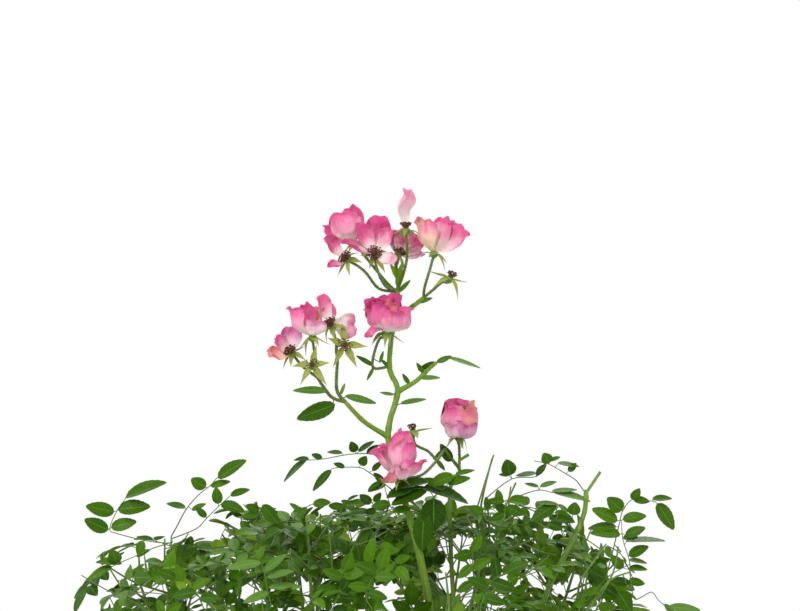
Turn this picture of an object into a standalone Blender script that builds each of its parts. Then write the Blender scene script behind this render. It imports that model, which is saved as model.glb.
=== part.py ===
"""A rose bush: a woody root stem, arching canes, masses of foliage, and one tall flowering cane.

Units are metres, +Z is up, and the front of the bush looks along -Y. The origin is the middle of the flat cut
under the root stem, at ground level. Points written as plain tuples are millimetres from that origin.
"""

import math
import random

import bmesh
import bpy
import numpy as np
from mathutils import Vector
from mathutils.geometry import interpolate_bezier

UP = Vector((0, 0, 1))
GOLDEN_ANGLE = math.radians(137.5)
JOINT_GAP = 0.0003

# The crown of foliage: a flat-topped dome, a little further out on the left than on the right.
CROWN_MIDDLE = Vector((-0.030, 0.0, 0.255))
CROWN_REACH = 0.280
CROWN_DEPTH = 0.250
CROWN_TOP = 0.402
CROWN_FOOT = 0.112
DOME_POWER = 3.0

# The root stem, from its flare on the ground to the knuckle that the canes leave.
STEM_HEIGHT = 0.060
STEM_RADIUS = 0.0145
FLARE_RADIUS = 0.024
FLARE_LOBES = 5

# Main canes leave the side of the stem evenly round it, and the middle and flowering canes leave its top.
CANE_COUNT = 8
FIRST_CANE_AZIMUTH = 335
CANE_RADIUS = 0.0044
CANE_TIP_RADIUS = 0.0030
CANE_END_REACH = 0.42
CANE_END_HEIGHT = 0.172
OUTER_MASS_REACH = 0.70
OUTER_MASS_HEIGHT = 0.250
UPPER_MASS_COUNT = 5
UPPER_MASS_REACH = 0.40
UPPER_MASS_HEIGHT = 0.335
BOUGH_RADIUS = 0.0027
BOUGH_TIP_RADIUS = 0.0021
SIDE_BOUGH_TIP_RADIUS = 0.0017

# The flowering cane and the side boughs that carry its blooms.
FLOWERING_RADIUS = 0.0049
FLOWERING_TIP_RADIUS = 0.0019
FLOWERING_CANE = [
    (3, -7, 44),
    (6, -15, 90),
    (30, -70, 170),
    (34, -95, 240),
    (20, -96, 337),
    (3, -92, 402),
    (-10, -77, 451),
    (-2, -66, 488),
    (-9, -62, 509),
    (-5, -58, 552),
    (-3, -56, 572),
]
MIDDLE_CANE = [(-3, 7, 42), (-7, 15, 90), (-22, 14, 180), (-28, 8, 262)]
BOUGH_LEFT = [(-10, -77, 451), (-30, -80, 464), (-46, -83, 481)]
BOUGH_RIGHT = [(-2, -66, 488), (13, -62, 496), (23, -58, 505), (30, -56, 511)]
BOUGH_TOP_RIGHT = [(-5, -58, 546), (10, -50, 558), (20, -46, 566)]
CANE_LOW_RIGHT = [(28, -66, 163), (46, -54, 260), (44, -45, 340), (43, -40, 400), (51, -36, 414)]
CANE_RIGHT = [(100, -34, 230), (126, -60, 317), (141, -70, 351), (155, -75, 384), (157, -76, 404)]
CANE_RIGHT_FOOT_SHARE = 0.8
UPPER_BOUGH_FOOT_SHARE = 0.42

# Foliage: one blade stands for a whole compound leaf, and leaves in full view have their leaflets.
BLADE_LENGTH = 0.074
BLADE_WIDTH = 0.038
BLADE_THICKNESS = 0.0013
LEAF_GAP = 0.004
LEAFLET_LENGTH = 0.026
LEAFLET_WIDTH = 0.014
LEAFLET_THICKNESS = 0.0008
LEAFLET_OPENING = math.radians(58)
LEAFLET_FACING = Vector((0.0, -0.6, 0.8))
TWIG_RADIUS = 0.0015
TWIG_TIP_RADIUS = 0.0009
RACHIS_RADIUS = 0.0008
SPACE_MARGIN = 0.0008
LIMB_MARGIN = 0.0016
LEAF_ROOM = 0.004
OUTER_SHOOTS = 9
UPPER_SHOOTS = 8
SHOOT_STEPS = 2
LEAVES_ON_SHOOT = 5

# Blooms: most have shed some petals, and some have shed them all.
HIP_RADIUS = 0.0034
STALK_RADIUS = 0.0013
SEPAL_COUNT = 5
SEPAL_LENGTH = 0.013
PETAL_THICKNESS = 0.0010
# A petal's rim: shares of its length, of its width across, and of its length towards the side that it faces.
PETAL_OUTLINE = [
    (0, -0.05, 0),
    (0.55, -0.50, 0.05),
    (0.95, -0.30, 0.08),
    (1, 0.10, 0.08),
    (0.75, 0.48, 0.06),
    (0, 0.05, 0),
]


def mm(point):
    return Vector(point) / 1000


def side(direction, towards):
    """The part of towards that stands square to direction, as a unit vector."""
    across = towards - direction * towards.dot(direction)
    if across.length < 1e-6:
        across = direction.orthogonal()
    return across.normalized()


def turned(direction, angle, opening):
    """A direction that leaves the given one by an opening, at that angle round it."""
    u = side(direction, UP)
    v = direction.cross(u)
    out = u * math.cos(angle) + v * math.sin(angle)
    return (direction * math.cos(opening) + out * math.sin(opening)).normalized()


def route(points, steps):
    """A smooth line through the points, with that many steps between each two."""
    line = []
    for i in range(len(points) - 1):
        before = points[max(i - 1, 0)]
        a, b = points[i], points[i + 1]
        after = points[min(i + 2, len(points) - 1)]
        bend = interpolate_bezier(a, a + (b - before) / 6, b - (after - a) / 6, b, steps + 1)
        line += bend[:-1]
    return line + [points[-1]]


def shares_of(line):
    """How far along a line each of its points lies, from 0 to 1."""
    reached = [0]
    for a, b in zip(line, line[1:]):
        reached.append(reached[-1] + (b - a).length)
    return [length / reached[-1] for length in reached]


def along(line, share):
    """The point and the direction at that share of a line's length."""
    shares = shares_of(line)
    i = max(k for k in range(len(line) - 1) if shares[k] <= share)
    part = (share - shares[i]) / (shares[i + 1] - shares[i])
    return line[i].lerp(line[i + 1], part), (line[i + 1] - line[i]).normalized()


def end_heading(line):
    return (line[-1] - line[-2]).normalized()


# ---------------------------------------------------------------- materials


def plain_material(name, colour, roughness):
    material = bpy.data.materials.new(name)
    material.use_nodes = True
    shader = material.node_tree.nodes["Principled BSDF"]
    shader.inputs["Base Color"].default_value = (*colour, 1)
    shader.inputs["Roughness"].default_value = roughness
    shader.inputs["Metallic"].default_value = 0
    return material


# ---------------------------------------------------------------- solids


def object_of(name, bm, material):
    mesh = bpy.data.meshes.new(name)
    bmesh.ops.recalc_face_normals(bm, faces=bm.faces)
    bm.to_mesh(mesh)
    bm.free()
    mesh.materials.append(material)
    made = bpy.data.objects.new(name, mesh)
    bpy.context.scene.collection.objects.link(made)
    return made


def bridge_rings(bm, rings):
    """Skins a row of rings, and closes it by a flat cap at each end."""
    for lower, upper in zip(rings, rings[1:]):
        for k in range(len(lower)):
            bm.faces.new((lower[k - 1], lower[k], upper[k], upper[k - 1]))
    bm.faces.new(rings[0])
    bm.faces.new(rings[-1])


def limb(name, line, root_radius, tip_radius, sides, material):
    """One limb along a line, tapering evenly over its length."""
    bm = bmesh.new()
    rings = []
    across = (line[1] - line[0]).orthogonal()
    turns = [math.tau * k / sides for k in range(sides)]
    last = len(line) - 1
    for i, (point, share) in enumerate(zip(line, shares_of(line))):
        heading = (line[min(i + 1, last)] - line[max(i - 1, 0)]).normalized()
        across = side(heading, across)
        other = heading.cross(across)
        radius = root_radius + (tip_radius - root_radius) * share
        ring = [point + (across * math.cos(t) + other * math.sin(t)) * radius for t in turns]
        rings.append([bm.verts.new(spot) for spot in ring])
    bridge_rings(bm, rings)
    return object_of(name, bm, material)


def blade(root, tip, face, width, thickness, material):
    """One leaf: eight faces with a keel, its edges raised a little on the side that it faces."""
    heading = (tip - root).normalized()
    face = side(heading, face)
    across = heading.cross(face) * width / 2
    middle = root.lerp(tip, 0.48)
    lift = face * width * 0.10
    bm = bmesh.new()
    ends = [bm.verts.new(root), bm.verts.new(tip)]
    edges = [bm.verts.new(middle + across + lift), bm.verts.new(middle - across + lift)]
    keel = [bm.verts.new(middle + face * thickness / 2), bm.verts.new(middle - face * thickness / 2)]
    for end in ends:
        for edge in edges:
            for rib in keel:
                bm.faces.new((end, edge, rib))
    return object_of("leaf", bm, material)


def petal(base, tip, face, width, material):
    """One petal: a cupped sheet of twelve faces, narrow at its base and broad near its tip."""
    heading = (tip - base).normalized()
    length = (tip - base).length
    face = side(heading, face)
    across = heading.cross(face) * width
    bm = bmesh.new()
    rim = [
        bm.verts.new(base + heading * length * s + across * t + face * length * lift)
        for s, t, lift in PETAL_OUTLINE
    ]
    middle = base + heading * length * 0.58 - face * length * 0.06
    for hand in (-1, 1):
        ridge = bm.verts.new(middle + face * PETAL_THICKNESS / 2 * hand)
        for k in range(len(rim)):
            bm.faces.new((rim[k - 1], rim[k], ridge))
    return object_of("petal", bm, material)


def calyx(base, axis, opening, material):
    """A hip and its sepals as one star: five tips and five hollows round the rim, and a point at each end."""
    bm = bmesh.new()
    rim = []
    for k in range(SEPAL_COUNT * 2):
        turn = math.pi * k / SEPAL_COUNT
        hollow = turned(axis, turn, math.pi / 2) * HIP_RADIUS
        tip = turned(axis, turn, opening) * SEPAL_LENGTH
        rim.append(bm.verts.new(base + (hollow if k % 2 else tip)))
    for point in (base + axis * HIP_RADIUS * 0.9, base - axis * HIP_RADIUS * 1.4):
        end = bm.verts.new(point)
        for k in range(len(rim)):
            bm.faces.new((rim[k - 1], rim[k], end))
    return object_of("calyx", bm, material)


def shell_volume(faces):
    """Six times the volume that a shell of faces shuts in, by summing tetrahedra."""
    total = 0
    for face in faces:
        first, *rest = [v.co for v in face.verts]
        total += sum(first.dot(b.cross(c)) for b, c in zip(rest, rest[1:]))
    return total


def keep_largest_shell(made):
    """Drops the loose scraps of a Boolean and the hollows that it sealed."""
    bm = bmesh.new()
    bm.from_mesh(made.data)
    left, shells = set(bm.faces), []
    while left:
        shell, queue = [], [left.pop()]
        while queue:
            face = queue.pop()
            shell.append(face)
            near = {other for edge in face.edges for other in edge.link_faces} & left
            left -= near
            queue += near
        shells.append(shell)
    largest = max(shells, key=shell_volume)
    scraps = [face for shell in shells if shell is not largest for face in shell]
    bmesh.ops.delete(bm, geom=scraps, context="FACES")
    bm.to_mesh(made.data)
    bm.free()


def apply_boolean(made, operation, solver, **operand):
    modifier = made.modifiers.new("joint", "BOOLEAN")
    modifier.operation = operation
    modifier.solver = solver
    for key, value in operand.items():
        setattr(modifier, key, value)
    graph = bpy.context.evaluated_depsgraph_get()
    mesh = bpy.data.meshes.new_from_object(made.evaluated_get(graph))
    made.modifiers.clear()
    made.data = mesh
    keep_largest_shell(made)


def remove_objects(objects):
    for leftover in list(objects):
        bpy.data.objects.remove(leftover)


def fuse(name, pieces):
    """All pieces as one solid, by one Boolean union on a collection."""
    first, *others = pieces
    first.name = name
    group = bpy.data.collections.new(name)
    bpy.context.scene.collection.children.link(group)
    for piece in others:
        bpy.context.scene.collection.objects.unlink(piece)
        group.objects.link(piece)
    apply_boolean(first, "UNION", "MANIFOLD", operand_type="COLLECTION", collection=group)
    remove_objects(group.objects)
    bpy.data.collections.remove(group)
    return first


# ---------------------------------------------------------------- limbs

KEEP_CLEAR = []


def keep_clear_of(line, root_radius, tip_radius):
    """Remembers a line and its thickness, so that the foliage keeps clear of it."""
    for a, b, share in zip(line, line[1:], shares_of(line)):
        KEEP_CLEAR.append((a, b, root_radius + (tip_radius - root_radius) * share))


def clear_of_limbs(points, margin):
    starts = np.array([a for a, b, r in KEEP_CLEAR])
    runs = np.array([b - a for a, b, r in KEEP_CLEAR])
    radii = np.array([r for a, b, r in KEEP_CLEAR])
    spots = np.array(points)[:, None, :] - starts
    share = np.clip((spots * runs).sum(2) / (runs * runs).sum(1), 0, 1)
    gaps = np.linalg.norm(spots - share[..., None] * runs, axis=2) - radii
    return gaps.min() > margin


def build_limb(name, line, root_radius, tip_radius, sides, material):
    keep_clear_of(line, root_radius, tip_radius)
    return limb(name, line, root_radius, tip_radius, sides, material)


def cut_from_limb(child, line, root_radius, tip_radius, sides):
    """Ends a child at the side of the limb that it grows from, with the joint's gap between them."""
    gap = JOINT_GAP / math.cos(math.pi / sides)
    cutter = limb("cutter", line, root_radius + gap, tip_radius + gap, sides, child.data.materials[0])
    apply_boolean(child, "DIFFERENCE", "EXACT", object=cutter)
    remove_objects([cutter])


def root_stem(name, grow, material):
    """A short woody stem that flares into lobes at the ground and ends in a knuckle, grown by an amount."""
    sides, levels = 15, 6
    bm = bmesh.new()
    rings = []
    for i in range(levels + 1):
        share = i / levels
        flare = (1 - share) ** 3
        knuckle = math.sqrt(max(1 - 10 * max(share - 0.72, 0) ** 2, 0))
        height = STEM_HEIGHT * share + (grow if share > 0.5 else 0)
        ring = []
        for k in range(sides):
            turn = math.tau * k / sides
            lobes = 1 + 0.16 * flare * math.cos(FLARE_LOBES * turn) + 0.05 * math.sin(3 * turn + 4 * share)
            radius = (STEM_RADIUS + (FLARE_RADIUS - STEM_RADIUS) * flare) * lobes * knuckle + grow
            ring.append(bm.verts.new((radius * math.cos(turn), radius * math.sin(turn), height)))
        rings.append(ring)
    bridge_rings(bm, rings)
    return object_of(name, bm, material)


def cut_from_root_stem(cane):
    cutter = root_stem("cutter", JOINT_GAP * 1.3, cane.data.materials[0])
    apply_boolean(cane, "DIFFERENCE", "EXACT", object=cutter)
    remove_objects([cutter])


def crown_point(degrees, reach, height):
    """A point at that azimuth, at a share of the crown's reach, at that height."""
    turn = math.radians(degrees)
    across = Vector((CROWN_REACH * math.cos(turn), CROWN_DEPTH * math.sin(turn), 0)) * reach
    return Vector((CROWN_MIDDLE.x, CROWN_MIDDLE.y, height)) + across


def cane_azimuth(index):
    return FIRST_CANE_AZIMUTH + index * 360 / CANE_COUNT


def cane_line(index):
    """A main cane, from inside the root stem out and up to the foot of its mass of foliage."""
    degrees = cane_azimuth(index)
    out = (crown_point(degrees, 1, 0) - crown_point(degrees, 0, 0)).normalized()
    foot = UP * (0.026 + 0.010 * (index % 2))
    tip = crown_point(degrees, CANE_END_REACH, CANE_END_HEIGHT + 0.010 * (index % 3))
    return route([foot, foot + out * 0.028 + UP * 0.022, foot.lerp(tip, 0.62) + UP * 0.012, tip], 2)


def upper_bough_line(index, lines):
    """A bough that rises from a main cane to the foot of an upper mass."""
    cane = lines["cane_%d" % (index * 2 + 1)]
    start = along(cane, UPPER_BOUGH_FOOT_SHARE)[0]
    tip = crown_point(cane_azimuth(index * 2), UPPER_MASS_REACH * 0.78, 0.262)
    return route([start, start.lerp(tip, 0.5) + UP * 0.012, tip], 3)


# ---------------------------------------------------------------- foliage


def mass_middles():
    """The middle of each mass: a low ring, a smaller ring above it, and one on top."""
    middles = {}
    for i in range(CANE_COUNT):
        height = OUTER_MASS_HEIGHT + 0.020 * (i % 2)
        middles["foliage_outer_%d" % (i + 1)] = crown_point(cane_azimuth(i), OUTER_MASS_REACH, height)
    for i in range(UPPER_MASS_COUNT - 1):
        middle = crown_point(cane_azimuth(i * 2), UPPER_MASS_REACH, UPPER_MASS_HEIGHT)
        middles["foliage_upper_%d" % (i + 1)] = middle
    middles["foliage_upper_%d" % UPPER_MASS_COUNT] = crown_point(0, 0, UPPER_MASS_HEIGHT + 0.012)
    return middles


def in_crown(point):
    """True inside the dome that the foliage fills."""
    off = point - CROWN_MIDDLE
    half = CROWN_TOP - CROWN_MIDDLE.z if off.z > 0 else CROWN_MIDDLE.z - CROWN_FOOT
    flat = math.hypot(off.x / CROWN_REACH, off.y / CROWN_DEPTH)
    return flat**DOME_POWER + abs(off.z / half) ** DOME_POWER < 1


def in_space(point, name, middles, margin):
    """True where a mass may grow: nearer its own middle than any other's."""
    own = middles[name]
    for other_name, other in middles.items():
        if other_name != name and (point - (own + other) / 2).dot((other - own).normalized()) > -margin:
            return False
    return True


def has_room(points, name, middles, margin):
    return all(in_crown(point) and in_space(point, name, middles, SPACE_MARGIN + margin) for point in points)


def trimmed(line, name, middles):
    """As much of a shoot as stays in its space, in the crown and off the limbs."""
    kept = [line[0]]
    for point in line[1:]:
        free = 1
        while free < 6:
            step = kept[-1].lerp(point, (free + 1) / 6)
            room = has_room([step], name, middles, TWIG_RADIUS)
            if not room or not clear_of_limbs([step], LIMB_MARGIN + TWIG_RADIUS):
                break
            free += 1
        if free > 2:
            kept.append(kept[-1].lerp(point, free / 6))
        if free < 6:
            break
    return kept


def mass_stem(name, foot, heading, middles):
    """A mass's own stem: straight out of its limb's tip, then through the middle of its space."""
    reach = middles[name] - foot
    start = foot + heading * JOINT_GAP
    bend = route([foot + heading * 0.014, foot + reach * 0.7, foot + reach * 1.1 + UP * 0.045], 3)
    return [start, bend[0]] + trimmed(bend, name, middles)[1:]


def shoot_line(rng, start, heading, length):
    """A shoot that leaves along its heading and bends up towards the light."""
    line, direction = [start], heading
    for _ in range(SHOOT_STEPS):
        wander = Vector([rng.uniform(-1, 1) for _ in range(3)]) * 0.12
        direction = (direction + UP * 0.25 + wander).normalized()
        line.append(line[-1] + direction * length / SHOOT_STEPS)
    return line


def blade_samples(root, tip, face):
    """Points spread over a blade, past its sunk foot."""
    across = (tip - root).normalized().cross(face) * BLADE_WIDTH / 2
    samples = []
    for i in range(1, 13):
        half = across * (1 - abs(i / 12 - 0.48) / 0.52)
        samples += [root.lerp(tip, i / 12) + half * t for t in (-1, -0.5, 0, 0.5, 1)]
    return samples


def samples_of(line):
    return [along(line, i / 15)[0] for i in range(1, 15)]


def apart(points, others):
    """True where every point keeps the leaf gap to every other."""
    if not others:
        return True
    gaps = np.array(points)[:, None, :] - np.concatenate(others)
    return np.linalg.norm(gaps, axis=2).min() > LEAF_GAP


def leaf_frame(rng, root, heading, turn, name, middles, taken):
    """A leaf's root, tip and facing, or None where it has no room."""
    for attempt in range(9):
        direction = turned(heading, turn + attempt * 1.25, math.radians(rng.uniform(45, 85)))
        direction = (direction + UP * rng.uniform(-0.25, 0.2)).normalized()
        tip = root + direction * BLADE_LENGTH * rng.uniform(0.85, 1.1) * (1 - 0.05 * attempt)
        out = Vector((tip.x - CROWN_MIDDLE.x, tip.y - CROWN_MIDDLE.y, 0)).normalized()
        wander = Vector([rng.uniform(-1, 1) for _ in range(3)]) * 0.45
        face = side(direction, UP * 0.75 + out * 0.45 + wander)
        across = direction.cross(face) * BLADE_WIDTH / 2
        middle = root.lerp(tip, 0.48)
        if not has_room([tip, middle + across, middle - across], name, middles, BLADE_THICKNESS):
            continue
        samples = blade_samples(root, tip, face)
        if apart(samples, taken) and clear_of_limbs(samples, LIMB_MARGIN):
            taken.append(samples)
            return root, tip, face
    return None


def grow_foliage(name, stem, middles, shoots):
    """The seeded rule: shoots leave the stem by the golden angle, and leaves leave each shoot by it too."""
    rng = random.Random(name)
    shoot_lines, leaf_frames, leaf_samples = [], [], []
    for i in range(shoots):
        start, direction = along(stem, 0.20 + 0.80 * i / (shoots - 1))
        opening = math.radians(rng.uniform(48, 74)) * (1 if i < shoots - 1 else 0.2)
        leave = turned(direction, i * GOLDEN_ANGLE, opening)
        line = trimmed(shoot_line(rng, start, leave, rng.uniform(0.070, 0.115)), name, middles)
        if len(line) > 1:
            shoot_lines.append(line)
    for line in shoot_lines:
        others = [samples_of(other) for other in shoot_lines if other is not line]
        taken = others + leaf_samples
        for k in range(LEAVES_ON_SHOOT):
            root, heading = along(line, (k + 1) / LEAVES_ON_SHOOT * 0.98)
            found = leaf_frame(rng, root, heading, k * GOLDEN_ANGLE, name, middles, taken)
            if found:
                leaf_frames.append(found)
        leaf_samples = taken[len(others):]
    return shoot_lines, leaf_frames


# Shoots that stand out of the crown: the mass, the shoot's points, and the rachis points of its leaves.
TALL_SHOOTS = [
    ("foliage_outer_6", [(-188, -74, 290), (-194, -90, 360)], [
        [(-187, -88, 378), (-170, -84, 402), (-151, -82, 417)],
        [(-212, -98, 366), (-240, -107, 376), (-234, -111, 396), (-222, -112, 406)],
    ]),
    ("foliage_upper_1", [(76, -52, 366), (74, -60, 396)], [
        [(84, -60, 407), (95, -60, 413), (113, -62, 416)],
    ]),
    ("foliage_upper_1", [(92, -64, 372), (98, -76, 394)], [
        [(108, -84, 401), (120, -90, 405), (138, -94, 403)],
    ]),
    ("foliage_upper_1", [(69, -36, 391), (80, -40, 426)], []),
]


def tall_shoot_line(points, stem):
    """A tall shoot leaves its stem where it comes nearest to the shoot's first point."""
    first = mm(points[0])
    start = min((along(stem, 0.3 + 0.65 * i / 8)[0] for i in range(9)), key=lambda p: (p - first).length)
    return route([start] + [mm(point) for point in points], 3)


def compound_leaf(line, leaflet_length, leaflet_width, pairs, material):
    """A leaf with its rachis along a line: a leaflet at the tip, and pairs of leaflets down its length."""
    pieces = [limb("rachis", line, RACHIS_RADIUS, RACHIS_RADIUS * 0.7, 3, material)]
    heading = end_heading(line)
    tip = line[-1] + heading * leaflet_length * 1.1
    face = side(heading, LEAFLET_FACING)
    pieces.append(blade(line[-1] - heading * 0.001, tip, face, leaflet_width, LEAFLET_THICKNESS, material))
    for pair in range(pairs):
        root, heading = along(line, 0.92 - 0.62 * pair / max(pairs - 1, 1))
        face = side(heading, LEAFLET_FACING)
        across = heading.cross(face)
        for hand in (-1, 1):
            out = heading * math.cos(LEAFLET_OPENING) + across * hand * math.sin(LEAFLET_OPENING)
            size = 1 - 0.10 * pair
            tip = root + (out + face * 0.12).normalized() * leaflet_length * size
            pieces.append(blade(root, tip, face, leaflet_width * size, LEAFLET_THICKNESS, material))
    return pieces


def build_mass(name, stem, middles, shoots, tall, material):
    shoot_lines, leaf_frames = grow_foliage(name, stem, middles, shoots)
    pieces = [limb("stem", stem, BOUGH_TIP_RADIUS, TWIG_RADIUS, 5, material)]
    for line in shoot_lines:
        pieces.append(limb("shoot", line, TWIG_RADIUS, TWIG_TIP_RADIUS, 3, material))
    for root, tip, face in leaf_frames:
        pieces.append(blade(root, tip, face, BLADE_WIDTH, BLADE_THICKNESS, material))
    for line, leaf_lines in tall:
        pieces.append(limb("tall shoot", line, TWIG_RADIUS, TWIG_TIP_RADIUS, 4, material))
        for leaf_line in leaf_lines:
            pieces += compound_leaf(leaf_line, LEAFLET_LENGTH, LEAFLET_WIDTH, 2, material)
    return fuse(name, pieces)


# ---------------------------------------------------------------- blooms

# Each bloom: its stalk from the twig to its base, the point that it looks at, how far its sepals open
# in degrees, and the tip and width of each petal that it still has.
TOP_BLOOMS = [
    ([(-18, -62, 575), (-30, -68, 590), (-42, -70, 602)], (-52, -78, 610), 95,
     [(-58, -78, 620, 14), (-63, -84, 613, 11), (-54, -88, 588, 15)]),
    ([(-12, -50, 580), (-27, -47, 598), (-37, -48, 611)], (-44, -52, 630), 115,
     [(-55, -56, 637, 26), (-43, -40, 645, 18), (-33, -44, 634, 14)]),
    ([(-13, -64, 578), (-19, -68, 594), (-20, -70, 602)], (-22, -78, 610), 115,
     [(-16, -64, 634, 24), (-33, -68, 628, 16), (-47, -84, 616, 10), (-2, -82, 601, 13)]),
    ([(2, -55, 584), (6, -54, 602), (5, -54, 624)], (5, -54, 640), 85,
     [(11, -48, 659, 19)]),
    ([(-1, -50, 582), (-3, -48, 592), (-2, -50, 601)], (4, -42, 612), 120,
     [(21, -38, 616, 18), (10, -34, 625, 16)]),
]
TOP_RIGHT_BLOOMS = [
    ([(21, -46, 575), (26, -45, 592), (29, -45, 602)], (31, -45, 615), 105,
     [(18, -52, 629, 18), (34, -36, 636, 22), (53, -48, 624, 22)]),
    ([(28, -50, 573), (36, -53, 580), (42, -55, 583)], (47, -57, 594), 70, []),
]
MIDDLE_BLOOM = (
    [(-9, -62, 509), (-23, -70, 509), (-19, -77, 530), (-12, -82, 539)], (-6, -86, 557), 100,
    [(-27, -92, 553, 18), (-20, -73, 572, 20), (-2, -68, 574, 20), (11, -84, 563, 18), (-4, -107, 549, 22)],
)
LEFT_TWIGS = [[(-58, -86, 486), (-69, -88, 502)], [(-53, -86, 492), (-52, -90, 517)]]
LEFT_BLOOMS = [
    ([(-73, -95, 513)], (-74, -106, 516), 80, []),
    ([(-70, -84, 514), (-72, -86, 526), (-73, -88, 535)], (-74, -88, 548), 115,
     [(-88, -92, 560, 18), (-73, -80, 565, 18), (-76, -102, 551, 15)]),
    ([(-80, -87, 510), (-84, -86, 514), (-90, -86, 522)], (-95, -92, 530), 110,
     [(-99, -84, 544, 14), (-85, -82, 544, 14), (-112, -96, 523, 14)]),
    ([(-53, -92, 528), (-45, -94, 530)], (-45, -104, 532), 80, []),
    ([(-54, -86, 534), (-56, -84, 545)], (-62, -90, 553), 100,
     [(-64, -80, 571, 18), (-36, -76, 549, 21)]),
]
LOW_TWIGS = [[(51, -37, 418), (46, -40, 425), (38, -46, 436)]]
LOW_BLOOMS = [
    ([(52, -41, 426), (51, -42, 434), (50, -45, 443)], (52, -47, 462), 115,
     [(37, -48, 470, 24), (52, -64, 468, 26), (67, -46, 467, 25), (54, -32, 474, 25)]),
    ([(31, -66, 429), (17, -92, 420), (-3, -105, 417)], (0, -106, 434), 70,
     [(6, -103, 457, 21), (-22, -104, 442, 16), (18, -112, 436, 17), (-15, -114, 424, 11)]),
    ([(24, -58, 436), (13, -66, 443), (11, -68, 454)], (10, -68, 466), 75, []),
]


def build_bloom(stalk, looks_at, opening, petals, green, pink):
    """A stalk, a calyx on its end, and petals that face along the bloom's axis."""
    base = stalk[-1]
    axis = (looks_at - base).normalized()
    if len(stalk) > 2:
        keep_clear_of(stalk[1:], STALK_RADIUS, STALK_RADIUS)
    keep_clear_of([base, base + axis * SEPAL_LENGTH], SEPAL_LENGTH, SEPAL_LENGTH)
    pieces = [limb("stalk", stalk, STALK_RADIUS, STALK_RADIUS * 0.8, 4, green)]
    pieces.append(calyx(base, axis, math.radians(opening), green))
    for x, y, z, width in petals:
        tip = mm((x, y, z))
        out = side(axis, tip - base) * HIP_RADIUS * 0.5
        keep_clear_of([base, tip], width / 2500, width / 2500)
        pieces.append(petal(base + out, tip, axis, width / 1000, pink))
    return pieces


def build_cluster(name, limb_line, radius, twigs, blooms, leaf_lines, green, pink):
    """Blooms and leaves fused on one twig that starts at a limb's tip, each on the nearest fork of it."""
    heading = end_heading(limb_line)
    start = limb_line[-1] + heading * JOINT_GAP
    joint = limb_line[-1] + heading * 0.0035
    pieces = [limb("twig", [start, limb_line[-1] + heading * 0.006], radius, radius * 0.8, 6, green)]
    forks = [joint]
    for points in twigs:
        line = [joint] + [mm(point) for point in points]
        forks += line[1:]
        keep_clear_of(line[1:], STALK_RADIUS, STALK_RADIUS)
        pieces.append(limb("twig", line, STALK_RADIUS * 1.2, STALK_RADIUS, 5, green))
    for stalk, looks_at, opening, petals in blooms:
        points = [mm(point) for point in stalk]
        fork = min(forks, key=lambda place: (place - points[0]).length)
        pieces += build_bloom([fork] + points, mm(looks_at), opening, petals, green, pink)
    for points, length, width, pairs in leaf_lines:
        line = route([joint] + [mm(point) for point in points], 2)
        keep_clear_of(line[1:] + [line[-1] + end_heading(line) * length / 1000], LEAF_ROOM, LEAF_ROOM)
        pieces += compound_leaf(line, length / 1000, width / 1000, pairs, green)
    return fuse(name, pieces)


# Leaves on the flowering cane and its boughs: rachis points, leaflet length and width in mm, and pairs.
LEFT_LEAVES = [
    ([(-54, -92, 480), (-61, -96, 476)], 26, 15, 0),
    ([(-56, -90, 489), (-66, -92, 491)], 24, 9, 0),
    ([(-46, -82, 489), (-40, -79, 486)], 24, 8, 0),
]
RIGHT_LEAVES = [
    ([(35, -54, 516), (46, -52, 519), (55, -50, 517)], 17, 8, 0),
    ([(35, -55, 518), (27, -62, 515)], 14, 6, 0),
]
LOW_LEAVES = [
    ([(55, -35, 418), (59, -34, 420)], 3, 1, 0),
    ([(42, -42, 430), (36, -46, 440)], 18, 8, 0),
]
FAR_RIGHT_LEAVES = [
    ([(152, -74, 415), (140, -70, 423), (126, -66, 427)], 20, 10, 2),
    ([(161, -75, 412), (168, -74, 420)], 3, 1, 0),
]
CANE_LEAVES = {
    "leaf_left_upper": ([(-4, -84, 430), (-22, -89, 438), (-46, -95, 439), (-78, -100, 434)], 24, 13, 3),
    "leaf_left_lower": ([(2, -91, 405), (-26, -97, 423), (-48, -102, 428), (-66, -106, 423)], 18, 10, 2),
    "leaf_front": ([(4, -92, 399), (14, -98, 408), (23, -101, 408), (27, -103, 401)], 32, 22, 1),
}


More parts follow.
